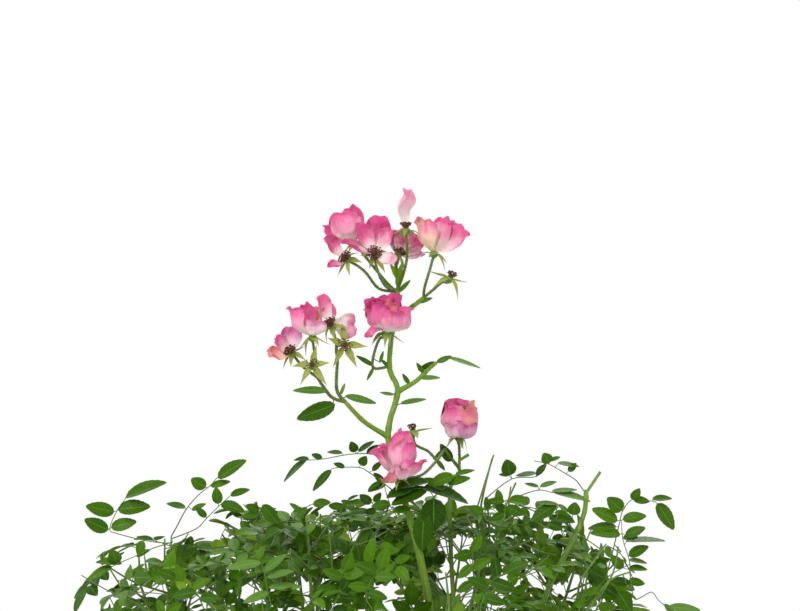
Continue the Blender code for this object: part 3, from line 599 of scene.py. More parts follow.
def in_crown(point, margin):
    """True inside the leafy crown, which is lumpy, and lower at its left, its ends and its back."""
    lumps = noise.noise(point * LUMP_SCALE) + FINE_LUMP_SHARE * noise.noise(point * FINE_LUMP_SCALE)
    in_dome = depth_in_crown(point) + margin * DEPTH_IN_A_METRE < DOME_EDGE + DOME_LUMP * lumps
    top = LEAFY_TOP + RISE_TO_RIGHT * point.x - DROP_TO_BACK * (point.y - MEASURING_PLANE)
    top -= END_DROP * max(abs(point.x) - LEVEL_TO, 0) ** 2
    return in_dome and point.z + margin < top + TOP_LUMP * lumps


def in_space(point, name, margin):
    """True where a mass may grow: nearer its own middle than any other's."""
    own = middles[name]
    for other_name, other in middles.items():
        if other_name != name and (point - (own + other) / 2).dot((other - own).normalized()) > -margin:
            return False
    return True


def trimmed(line, name):
    """As much of a shoot as stays in its space, in the crown and off the limbs."""
    kept = [line[0]]
    for point in line[1:]:
        free = 1
        while free < TRIM_STEPS:
            step = kept[-1].lerp(point, (free + 1) / TRIM_STEPS)
            room = in_crown(step, EDGE_MARGIN) and in_space(step, name, SPACE_MARGIN + TWIG_RADIUS)
            if not room or not clear_of_limbs([step], LIMB_MARGIN + TWIG_RADIUS):
                break
            free += 1
        if free > FEWEST_TRIM_STEPS:
            kept.append(kept[-1].lerp(point, free / TRIM_STEPS))
        if free < TRIM_STEPS:
            break
    return kept


def mass_stem(name, foot, heading):
    """A mass's own stem: straight out of its limb's tip, then through the middle of its space."""
    reach = middles[name] - foot
    start = foot + heading * JOINT_GAP
    end = foot + reach * STEM_END_SHARE + UP * STEM_END_RISE
    bend = route([foot + heading * STEM_START, foot + reach * STEM_BEND_SHARE, end], LIMB_STEPS)
    return [start, bend[0]] + trimmed(bend, name)[1:]


def shoot_line(rng, start, heading, length):
    """A shoot that leaves along its heading and bends up towards the light."""
    line, direction = [start], heading
    for _ in range(SHOOT_STEPS):
        wander = Vector([rng.uniform(-1, 1) for _ in range(3)]) * SHOOT_WANDER
        direction = (direction + UP * SHOOT_RISE + wander).normalized()
        line.append(line[-1] + direction * length / SHOOT_STEPS)
    return line


def shoots_of(name, stem):
    """Shoots that leave a mass's stem by the golden angle. The last one carries the stem on."""
    rng = random.Random(name)
    count = OUTER_SHOOTS if "outer" in name else UPPER_SHOOTS
    lines = []
    for i in range(count):
        start, direction = along(stem, FIRST_SHOOT_SHARE + (1 - FIRST_SHOOT_SHARE) * i / (count - 1))
        opening = math.radians(rng.uniform(*SHOOT_OPENING)) * (1 if i < count - 1 else LAST_SHOOT_OPENING)
        leave = turned(direction, i * GOLDEN_ANGLE, opening)
        line = trimmed(shoot_line(rng, start, leave, rng.uniform(*SHOOT_LENGTH)), name)
        if len(line) > 1:
            lines.append(route(line, SHOOT_SMOOTHING))
    return lines


def side_twigs_of(name, shoots):
    """Short twigs that leave each shoot by the golden angle too, towards the light and within the crown."""
    rng = random.Random(name + " side twigs")
    lines = []
    for shoot in shoots:
        for k in range(SIDE_TWIGS):
            start, direction = along(shoot, SIDE_TWIG_FROM + SIDE_TWIG_RANGE * k / (SIDE_TWIGS - 1))
            for attempt in range(SIDE_TWIG_TRIES):
                turn = (k + attempt) * GOLDEN_ANGLE + rng.uniform(-TURN_WANDER, TURN_WANDER)
                leave = turned(direction, turn, math.radians(rng.uniform(*SIDE_TWIG_OPENING)))
                line = shoot_line(rng, start, leave, rng.uniform(*SIDE_TWIG_LENGTH))
                if in_crown(line[-1], SIDE_TWIG_MARGIN) and not in_gap(line[-1]):
                    lines.append(route(line, SIDE_TWIG_SMOOTHING))
                    break
    return lines


def nearest(places, point):
    """The one of the places that lies nearest to the point."""
    return min(places, key=lambda place: (place - point).length)


def tall_shoot_line(points, stem):
    """A tall shoot leaves its stem where it comes nearest to the shoot's first point."""
    steps = TALL_SHOOT_PLACES - 1
    shares = [TALL_SHOOT_FROM + TALL_SHOOT_RANGE * i / steps for i in range(TALL_SHOOT_PLACES)]
    start = nearest([along(stem, share)[0] for share in shares], mm(points[0]))
    return route([start] + [mm(point) for point in points], LIMB_STEPS)


def tapered(line, root_radius, tip_radius):
    """A line's points, with radii that run evenly from one to the other."""
    return [(p, root_radius + (tip_radius - root_radius) * share) for p, share in zip(line, shares_of(line))]


for line in thick_lines:
    keep_clear_of(line, CANE_RADIUS, CANE_TIP_RADIUS)
for line in thin_lines:
    keep_clear_of(line, BOUGH_RADIUS, BOUGH_TIP_RADIUS)
keep_clear_of(flowering_line, FLOWERING_RADIUS, FLOWERING_TIP_RADIUS)
for step in range(1, CLEAR_STEPS):
    ahead = FRONT * CLEAR_DEPTH * step / (CLEAR_STEPS - 1)
    for line, lowest in ((flowering_line, CLEAR_FROM), (limb_lines["cane_right"], RIGHT_CLEAR_FROM)):
        keep_clear_of([point + ahead for point in line if point.z > lowest], CLEAR_RADIUS, CLEAR_RADIUS)
for line in bough_lines.values():
    keep_clear_of(line, BOUGH_TIP_RADIUS, SIDE_BOUGH_TIP_RADIUS)

middles = mass_middles()
stems, shoots, twigs, tall = {}, {}, {}, {}
for name in middles:
    place, number = name.split("_")[1:]
    line = limb_lines.get(("cane_" if place == "outer" else "bough_") + number, limb_lines["cane_middle"])
    stems[name] = mass_stem(name, line[-1], end_heading(line))
    shoots[name] = shoots_of(name, stems[name])
    twigs[name] = side_twigs_of(name, shoots[name])
    tall[name] = [tall_shoot_line(points, stems[name]) for mass, points in TALL_SHOOTS if mass == name]

shoot_skin = cane_skin("green_shoot_skin", "#68863A", "#476426", "#5A442E", aged_below=0.20, aged_above=0.34)
foliage_stems = tubes(
    "foliage_stems",
    [grown_limb(stem, BOUGH_TIP_RADIUS, TWIG_RADIUS) for stem in stems.values()],
    sides=10, material=aged_skin,
)
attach(foliage_stems, "root")
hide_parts(*middles)

foliage_shoots = tubes(
    "foliage_shoots",
    [tapered(line, TWIG_RADIUS, TWIG_TIP_RADIUS) for name in middles for line in shoots[name] + tall[name]],
    sides=8, material=shoot_skin,
)
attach(foliage_shoots, "root")
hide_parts(*middles)

side_twigs = tubes(
    "side_twigs",
    [tapered(line, TWIG_TIP_RADIUS, SIDE_TWIG_TIP_RADIUS) for name in middles for line in twigs[name]],
    sides=6, material=shoot_skin,
)
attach(side_twigs, "root")
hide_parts(*middles)


# ------------------------------ compound leaves
# Each leaf is a thin rachis with a leaflet at its tip and two or three pairs down its length. A leaflet is a
# toothed oval blade, folded a little along its midrib and arched towards its tip, waxy and green above, paler
# and dull below. Young leaves are yellow-green, and a few old ones have turned yellow. Grey-green leaves are
# painted sheen, and the extra dark green leaves inside the crown are painted shade.

# One leaflet's form, in its own length and breadth, and the crease at which its shading breaks.
LEAFLET_TEETH = 7
TOOTH_REACH = 0.022
TOOTH_LEAN = TOOTH_REACH * 0.7
LEAFLET_SWELL = 0.045
RIB_DEPTH = 0.022
RIB_NARROWNESS = 5
ACROSS_PLACES = 4
FORM_TOLERANCE = 1e-4
OVAL_FOOT = 0.86
OVAL_FULLNESS = 0.62
TIP_DRAWING = 0.16
SIDE_VEINS = 7
SEPAL_FOOT_BREADTH = 1.40
SEPAL_NARROWING = 1.28
SEPAL_TAPER = 0.8
NARROWEST_SHARE = 0.02
BLADE_CREASE = math.radians(55)

# Each leaf: sizes in metres, openings in degrees, and ranges that each draw is made from.
RACHIS_RADIUS = 0.00048
RACHIS_LENGTH = (0.028, 0.048)
RACHIS_STEPS = 4
RACHIS_SAG = (0.0, 0.14)
LEAFLET_LENGTH = (0.012, 0.020)
LEAFLET_SLIMNESS = (0.54, 0.68)
LEAFLET_PAIRS = (2, 3, 3)
END_LEAFLET_LENGTH = 1.25
END_LEAFLET_WIDTH = 1.05
FIRST_PAIR_SHARE = 0.90
PAIR_RANGE = 0.60
PAIR_SHRINKING = 0.10
PAIR_SIZE = (0.9, 1.08)
PAIR_OPENING = (52, 72)
PAIR_TILT = (-0.22, 0.22)
PAIR_ROLL = (-0.3, 0.3)
BLADE_FOLD = (0.05, 0.45)
BLADE_ARCH = (0.02, 0.26)
BLADE_TINT = (0, 0.5)
PETIOLULE_RADIUS = 0.00036
PETIOLULE_TIP_RADIUS = PETIOLULE_RADIUS * 0.8
PETIOLULE_SHARE = 0.07
PETIOLULE_OVERLAP = 0.05
GAP_TEST_SHARES = (0.3, 0.8)

# How the leaves stand on the shoots and in the crown.
LEAVES_ON_SHOOT = 4
LEAVES_ON_TWIG = 2
LAST_LEAF_SHARE = 0.98
LEAF_TRIES = 7
LEAF_TRY_TURN = 1.25
LEAF_OPENING = (42, 80)
LEAF_RISE = (-0.20, 0.25)
LEAF_CLEARANCE = 0.004
LEAST_DEPTH = (0.30, 0.62)
FACING_UP = 0.82
FACING_OUT = 0.30
FACING_WANDER = 0.62
TOP_FACING_FROM = 0.36
TOP_FACING_OVER = 0.05
TOP_FACING = 3
EDGE_THINNING = 1.15
LOW_EDGE_THINNING = EDGE_THINNING * 0.6
HIGH_EDGE_FROM = 0.33

# How many leaves have each colour: the highest draw, between 0 and 1, that still gives it. Young leaves and
# turned leaflets are smaller too.
TURNED_SHARE = 0.002
TURNED_SIZE = 0.7
YOUNG_FROM = 0.8
YOUNG_DRAW = 0.16
YOUNG_SIZE = 0.8
INNER_DEPTH = 0.75
# Deeper in than this, more of the leaves are dark green, as painted shade. The outer share is the leaves' own
# darker green.
INNER_DARK_AND_SHADE_DRAW = 0.45
OUTER_DARK_DRAW = 0.22
# Grey-green leaves, outside the crown only, are painted sheen.
SHEEN_GREY_DRAW = 0.45

# From this many leaflets on, a colour is made as two pieces, each of fewer than 200,000 triangles.
LARGEST_BATCH = 1700


def leaflet_width(share):
    """Half of a leaflet's width at a share of its length, as a share of its breadth: an oval with a
    drawn-out tip."""
    oval = max(math.sin(math.pi * share**OVAL_FOOT), 0) ** OVAL_FULLNESS
    return oval * (1 - TIP_DRAWING * share**3) / 2


def leaflet_form():
    """One leaflet a unit long and wide, with its root at the origin: a toothed top face and a ribbed
    underside. Each tooth is a rim point of its own, set between two places of the grid."""
    deselect_all()
    bpy.ops.mesh.primitive_grid_add(x_subdivisions=LEAFLET_TEETH, y_subdivisions=ACROSS_PLACES, size=1)
    form = bpy.context.object
    bpy.ops.object.mode_set(mode="EDIT")
    bpy.ops.mesh.select_mode(type="EDGE")
    bpy.ops.mesh.select_all(action="DESELECT")
    bm = bmesh.from_edit_mesh(form.data)
    for edge in bm.edges:
        edge.select = all(abs(abs(v.co.y) - 0.5) < FORM_TOLERANCE for v in edge.verts)
    bmesh.update_edit_mesh(form.data)
    bpy.ops.mesh.subdivide(number_cuts=1, ngon=True)
    bpy.ops.object.mode_set(mode="OBJECT")
    for vertex in form.data.vertices:
        x, across = vertex.co.x + 0.5, vertex.co.y * 2
        tooth = abs(x * LEAFLET_TEETH - round(x * LEAFLET_TEETH)) > 0.25
        x += TOOTH_LEAN if tooth else 0
        reach = leaflet_width(x) + (TOOTH_REACH if tooth else 0)
        swell = LEAFLET_SWELL * (1 - (2 * abs(across) - 1) ** 2) * math.sin(math.pi * min(x, 1))
        vertex.co = (x, across * reach, swell)
    bpy.ops.object.mode_set(mode="EDIT")
    bpy.ops.mesh.select_all(action="SELECT")
    bpy.ops.mesh.duplicate_move()
    bpy.ops.mesh.flip_normals()
    bm = bmesh.from_edit_mesh(form.data)
    bm.verts.ensure_lookup_table()
    for vertex in bm.verts:
        if vertex.select and not vertex.is_boundary:
            vertex.co.z -= RIB_DEPTH * (1 + max(1 - RIB_NARROWNESS * abs(vertex.co.y), 0))
    bmesh.update_edit_mesh(form.data)
    bpy.ops.mesh.select_all(action="SELECT")
    bpy.ops.mesh.remove_doubles(threshold=FORM_TOLERANCE)
    bpy.ops.object.mode_set(mode="OBJECT")
    return form


def sepal_form():
    """The leaflet's form with a broad foot and a long thin tip."""
    form = leaflet_form()
    for vertex in form.data.vertices:
        vertex.co.y *= SEPAL_FOOT_BREADTH - SEPAL_NARROWING * min(max(vertex.co.x, 0), 1) ** SEPAL_TAPER
    return form


def form_arrays(form):
    """A modelled form as arrays to copy from: its points, the points of its faces, its faces' sizes, and
    which of those faces' points belong to its upper side."""
    mesh = form.data
    points = np.array([v.co[:] for v in mesh.vertices])
    corners = np.array([loop.vertex_index for loop in mesh.loops])
    sizes = np.array([polygon.loop_total for polygon in mesh.polygons])
    upper = np.repeat([polygon.normal.z > 0 for polygon in mesh.polygons], sizes)
    bpy.data.objects.remove(form)
    return points, corners, sizes, upper


def joined_copies(name, form, copies, material):
    """Copies of a form as one mesh. A copy is its root, its run, its width, its face, how far it folds up at
    its sides and arches down at its tip, and its tint. The form's own place goes into the UV map."""
    points, corners, sizes, upper = form
    root, run, across, face, fold, arch, tint = [np.array(row) for row in zip(*copies)]
    x, y, z = points.T
    length = np.linalg.norm(run, axis=1)[:, None, None]
    width = np.linalg.norm(across, axis=1)[:, None, None]
    lift = z[None, :, None] * width + fold[:, None, None] * np.abs(y)[None, :, None] * width
    lift = lift - arch[:, None, None] * (x**2)[None, :, None] * length
    spots = root[:, None] + x[None, :, None] * run[:, None] + y[None, :, None] * across[:, None]
    spots = spots + face[:, None] * lift
    count, own = len(copies), len(points)
    mesh = bpy.data.meshes.new(name)
    mesh.vertices.add(count * own)
    mesh.vertices.foreach_set("co", spots.ravel())
    mesh.loops.add(count * len(corners))
    mesh.loops.foreach_set("vertex_index", (corners[None] + own * np.arange(count)[:, None]).ravel())
    mesh.polygons.add(count * len(sizes))
    starts = np.concatenate([[0], np.cumsum(sizes)[:-1]])
    mesh.polygons.foreach_set("loop_start", (starts[None] + len(corners) * np.arange(count)[:, None]).ravel())
    mesh.update(calc_edges=True)
    widest = np.array([max(leaflet_width(s), NARROWEST_SHARE) for s in x])
    place = np.stack([0.5 + y / widest / 4, x], axis=1)[corners]
    place[~upper, 1] *= -1
    mesh.uv_layers.new(name="blade").data.foreach_set("uv", np.tile(place, (count, 1)).ravel())
    mesh.attributes.new("tint", "FLOAT", "POINT").data.foreach_set("value", np.repeat(tint, own))
    mesh.materials.append(material)
    made = new_piece(name, mesh)
    bpy.ops.object.shade_smooth_by_angle(angle=BLADE_CREASE)
    return made


def leaf_blade(name, top, top_shade, rib, under, top_roughness):
    """A leaf's blade: a waxy top with a pale midrib and sunk side veins, a dull pale underside, and light
    that comes through it. The side veins stand a seventh of the blade's length apart."""
    material, tree = empty_material(name)
    place = add_node(tree, "ShaderNodeUVMap", uv_map="blade").outputs[0]
    parts = add_node(tree, "ShaderNodeSeparateXYZ", {0: place})
    from_rib = add_node(tree, "ShaderNodeMath", {0: parts.outputs[0], 1: 0.5}, operation="SUBTRACT")
    out = add_node(tree, "ShaderNodeMath", {0: from_rib.outputs[0]}, operation="ABSOLUTE")
    up = add_node(tree, "ShaderNodeMath", {0: parts.outputs[1]}, operation="ABSOLUTE")
    slant = add_node(tree, "ShaderNodeMath", {0: out.outputs[0], 1: -0.9, 2: up.outputs[0]},
                     operation="MULTIPLY_ADD")
    vein_place = add_node(tree, "ShaderNodeMath", {0: slant.outputs[0], 1: SIDE_VEINS}, operation="MULTIPLY")
    from_vein = add_node(tree, "ShaderNodeMath", {0: vein_place.outputs[0], 1: 0.5}, operation="PINGPONG")
    vein = add_node(tree, "ShaderNodeMapRange", {
        "Value": from_vein.outputs[0], "From Max": 0.13, "To Min": 0.13, "To Max": 0})
    midrib = add_node(tree, "ShaderNodeMapRange", {
        "Value": out.outputs[0], "From Min": 0.003, "From Max": 0.017, "To Min": 0.6, "To Max": 0})
    lines = add_node(tree, "ShaderNodeMath", {0: vein.outputs[0], 1: midrib.outputs[0]}, operation="MAXIMUM")
    spot = add_node(tree, "ShaderNodeTexCoord").outputs["Object"]
    mottle = add_node(tree, "ShaderNodeTexNoise", {"Vector": spot, "Scale": 160, "Detail": 4})
    tint = add_node(tree, "ShaderNodeAttribute", attribute_name="tint")
    blend = add_node(tree, "ShaderNodeMath", {0: mottle.outputs[0], 1: 0.7, 2: tint.outputs["Fac"]},
                     operation="MULTIPLY_ADD")
    share = add_node(tree, "ShaderNodeMapRange", {
        "Value": blend.outputs[0], "From Min": 0.2, "From Max": 1.1})
    below = add_node(tree, "ShaderNodeMath", {0: parts.outputs[1], 1: 0.0}, operation="LESS_THAN")
    colour = linear(top_shade)
    for cover, next_colour in ((share, top), (lines, rib), (below, under)):
        layer = add_node(tree, "ShaderNodeMix", {
            0: cover.outputs[0], 6: colour, 7: linear(next_colour)}, data_type="RGBA")
        colour = layer.outputs[2]
    roughness = add_node(tree, "ShaderNodeMapRange", {
        "Value": below.outputs[0], "To Min": top_roughness, "To Max": 0.72})
    relief = add_node(tree, "ShaderNodeBump", {
        "Height": from_vein.outputs[0], "Strength": 0.6, "Distance": 0.0005})
    shader = add_node(tree, "ShaderNodeBsdfPrincipled", {
        "Base Color": colour, "Roughness": roughness.outputs[0], "IOR": 1.42,
        "Specular IOR Level": 0.12, "Normal": relief.outputs[0]})
    through = add_node(tree, "ShaderNodeBsdfTranslucent", {"Color": linear("#7EA810")})
    both = add_node(tree, "ShaderNodeMixShader", {0: 0.22, 1: shader.outputs[0], 2: through.outputs[0]})
    add_node(tree, "ShaderNodeOutputMaterial", {"Surface": both.outputs[0]})
    return material


leaf_rachises = []
leaflets = {}


def add_leaflet(kind, rng, root, heading, face, length, width):
    """Lays one leaflet down, on its own short stalk. One in some hundreds has turned yellow. None grows
    into a gap of the crown."""
    if rng.random() < TURNED_SHARE:
        kind, length, width = "turning", length * TURNED_SIZE, width * TURNED_SIZE
    if any(in_gap(root + heading * length * share) for share in GAP_TEST_SHARES):
        return
    face = side(heading, face)
    foot = root + heading * length * PETIOLULE_SHARE
    stalk_end = foot + heading * length * PETIOLULE_OVERLAP
    leaf_rachises.append([(root, PETIOLULE_RADIUS), (stalk_end, PETIOLULE_TIP_RADIUS)])
    leaflets.setdefault(kind, []).append((
        foot, heading * length, face.cross(heading) * width, face,
        rng.uniform(*BLADE_FOLD), rng.uniform(*BLADE_ARCH), rng.uniform(*BLADE_TINT)))


def add_leaf(kind, rng, line, facing, length, slimness, pairs):
    """A whole leaf along a rachis line: a leaflet at its tip, and pairs of leaflets down its length."""
    heading = end_heading(line)
    leaf_rachises.append(tapered(line, RACHIS_RADIUS, PETIOLULE_RADIUS))
    end_width = length * slimness * END_LEAFLET_WIDTH
    add_leaflet(kind, rng, line[-1], heading, facing, length * END_LEAFLET_LENGTH, end_width)
    for pair in range(pairs):
        root, heading = along(line, FIRST_PAIR_SHARE - PAIR_RANGE * pair / (pairs - 1))
        face = side(heading, facing)
        across = heading.cross(face)
        for hand in (-1, 1):
            opening = math.radians(rng.uniform(*PAIR_OPENING))
            tilt = face * rng.uniform(*PAIR_TILT)
            out = (heading * math.cos(opening) + across * hand * math.sin(opening) + tilt).normalized()
            size = length * (1 - PAIR_SHRINKING * pair) * rng.uniform(*PAIR_SIZE)
            rolled = face + across * hand * rng.uniform(*PAIR_ROLL)
            add_leaflet(kind, rng, root, out, rolled, size, size * slimness)


def leaf_place(rng, root, heading, turn):
    """Where a new leaf goes from a node: its rachis and the way it faces, or None where it has no room."""
    for attempt in range(LEAF_TRIES):
        opening = math.radians(rng.uniform(*LEAF_OPENING))
        direction = turned(heading, turn + attempt * LEAF_TRY_TURN, opening)
        direction = (direction + UP * rng.uniform(*LEAF_RISE)).normalized()
        length = rng.uniform(*RACHIS_LENGTH)
        line = [root]
        for _ in range(RACHIS_STEPS):
            line.append(line[-1] + direction * length / RACHIS_STEPS)
            direction = (direction - UP * rng.uniform(*RACHIS_SAG)).normalized()
        middle, end = line[RACHIS_STEPS // 2], line[-1]
        tip = end + direction * LEAFLET_LENGTH[1]
        if depth_in_crown(tip) < rng.uniform(*LEAST_DEPTH) or not in_crown(tip, 0):
            continue
        if in_gap(middle) or in_gap(end):
            continue
        if not clear_of_limbs([middle, end, tip], LEAF_CLEARANCE):
            continue
        off = tip - CROWN_MIDDLE
        lift = TOP_FACING * max(tip.z - TOP_FACING_FROM, 0) / TOP_FACING_OVER
        out = Vector((off.x / CROWN_REACH, off.y / CROWN_DEPTH, lift)).normalized()
        wander = Vector([rng.uniform(-1, 1) for _ in range(3)]) * FACING_WANDER
        return line, (UP * FACING_UP + out * FACING_OUT + wander).normalized()
    return None


def leaf_kind(rng, share, depth):
    """The colour of a whole leaf: young at a shoot's tip, and otherwise green, dark green or grey-green.
    Dark ones are commoner inside the crown, where the extra dark leaves are painted shade, and grey-green
    ones, whose colour is painted sheen, stand only outside it."""
    chance = rng.random()
    if share > YOUNG_FROM and chance < YOUNG_DRAW:
        return "young"
    # The extra dark leaves inside the crown are painted shade.
    if chance < (INNER_DARK_AND_SHADE_DRAW if depth < INNER_DEPTH else OUTER_DARK_DRAW):
        return "dark"
    # Grey-green is painted sheen.
    return "grey" if chance < SHEEN_GREY_DRAW else "green"


def grow_leaves(name):
    """Leaves leave each shoot and side twig of a mass by the golden angle, fewer towards the crown's edge."""
    rng = random.Random(name + " leaves")
    carriers = [(shoot, LEAVES_ON_SHOOT) for shoot in shoots[name]]
    carriers += [(twig, LEAVES_ON_TWIG) for twig in twigs[name]]
    for carrier, count in carriers:
        for k in range(count):
            share = (k + 1) / count * LAST_LEAF_SHARE
            root, heading = along(carrier, share)
            off = root - CROWN_MIDDLE
            outward = math.hypot(off.x / CROWN_REACH, off.y / CROWN_DEPTH)
            found = leaf_place(rng, root, heading, k * GOLDEN_ANGLE)
            thinning = EDGE_THINNING if root.z > HIGH_EDGE_FROM else LOW_EDGE_THINNING
            if not found or rng.random() < thinning * outward**2:
                continue
            rachis, facing = found
            kind = leaf_kind(rng, share, depth_in_crown(rachis[-1]))
            length = rng.uniform(*LEAFLET_LENGTH) * (YOUNG_SIZE if kind == "young" else 1)
            slimness = rng.uniform(*LEAFLET_SLIMNESS)
            add_leaf(kind, rng, rachis, facing, length, slimness, rng.choice(LEAFLET_PAIRS))


for name in middles:
    grow_leaves(name)
blade_finishes = {
    "green": leaf_blade("waxy_green_leaf", "#588608", "#2F5A02", "#7C9E34", "#648824", 0.27),
    "dark": leaf_blade("waxy_dark_leaf", "#3A6206", "#1E3E02", "#729444", "#5A7C30", 0.25),
    # A brighter, greyer base colour that is painted sheen.
    "grey": leaf_blade("grey_green_painted_sheen_leaf", "#628A36", "#466C22", "#94AC6E", "#789250", 0.34),
    "young": leaf_blade("young_yellow_green_leaf", "#7C9A14", "#5E8410", "#A6B852", "#8EA444", 0.40),
    "turning": leaf_blade("turning_yellow_leaf", "#C8AE2E", "#A08A28", "#D2C272", "#B4A45A", 0.48),
}
leaflet = form_arrays(leaflet_form())
for kind, copies in leaflets.items():
    half = len(copies) // 2
    batches = [copies] if len(copies) < LARGEST_BATCH else [copies[:half], copies[half:]]
    for number, batch in enumerate(batches):
        piece = joined_copies("leaflets_%s_%d" % (kind, number + 1), leaflet, batch, blade_finishes[kind])
        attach(piece, "root")
        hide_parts(*middles)
rachis_skin = cane_skin("rachis_skin", "#5C7A30", "#42601E")
rachises = tubes("leaf_rachises", leaf_rachises, sides=4, material=rachis_skin)
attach(rachises, "root")
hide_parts(*middles)


# ------------------------------ sprays at the crown's edge, and cane leaves
# The leaves that stand free, laid out one leaflet at a time: those of the shoots that rise out of the crown,
# and the few that the flowering cane and its boughs carry, with narrow bracts under the blooms.

# The breadth of a leaflet as a share of its length, and how a laid one slants, lies flat, folds and arches.
LEAFLET_SPREAD = 0.50
GREY_SPREAD = LEAFLET_SPREAD * 0.66
BRACT_SPREAD = 0.24
LAID_SLANT = (-0.12, 0.12)
LAID_LIFT = (1, 1, 0.9)
LAID_FOLD = (0.05, 0.35)
LAID_ARCH = (0.02, 0.16)
SPRAY_RACHIS_RADIUS = RACHIS_RADIUS * 1.2
HOST_STEPS = 12

# The fork below the two low blooms at the right, in mm.
LOW_FORK = (51, -37, 418)
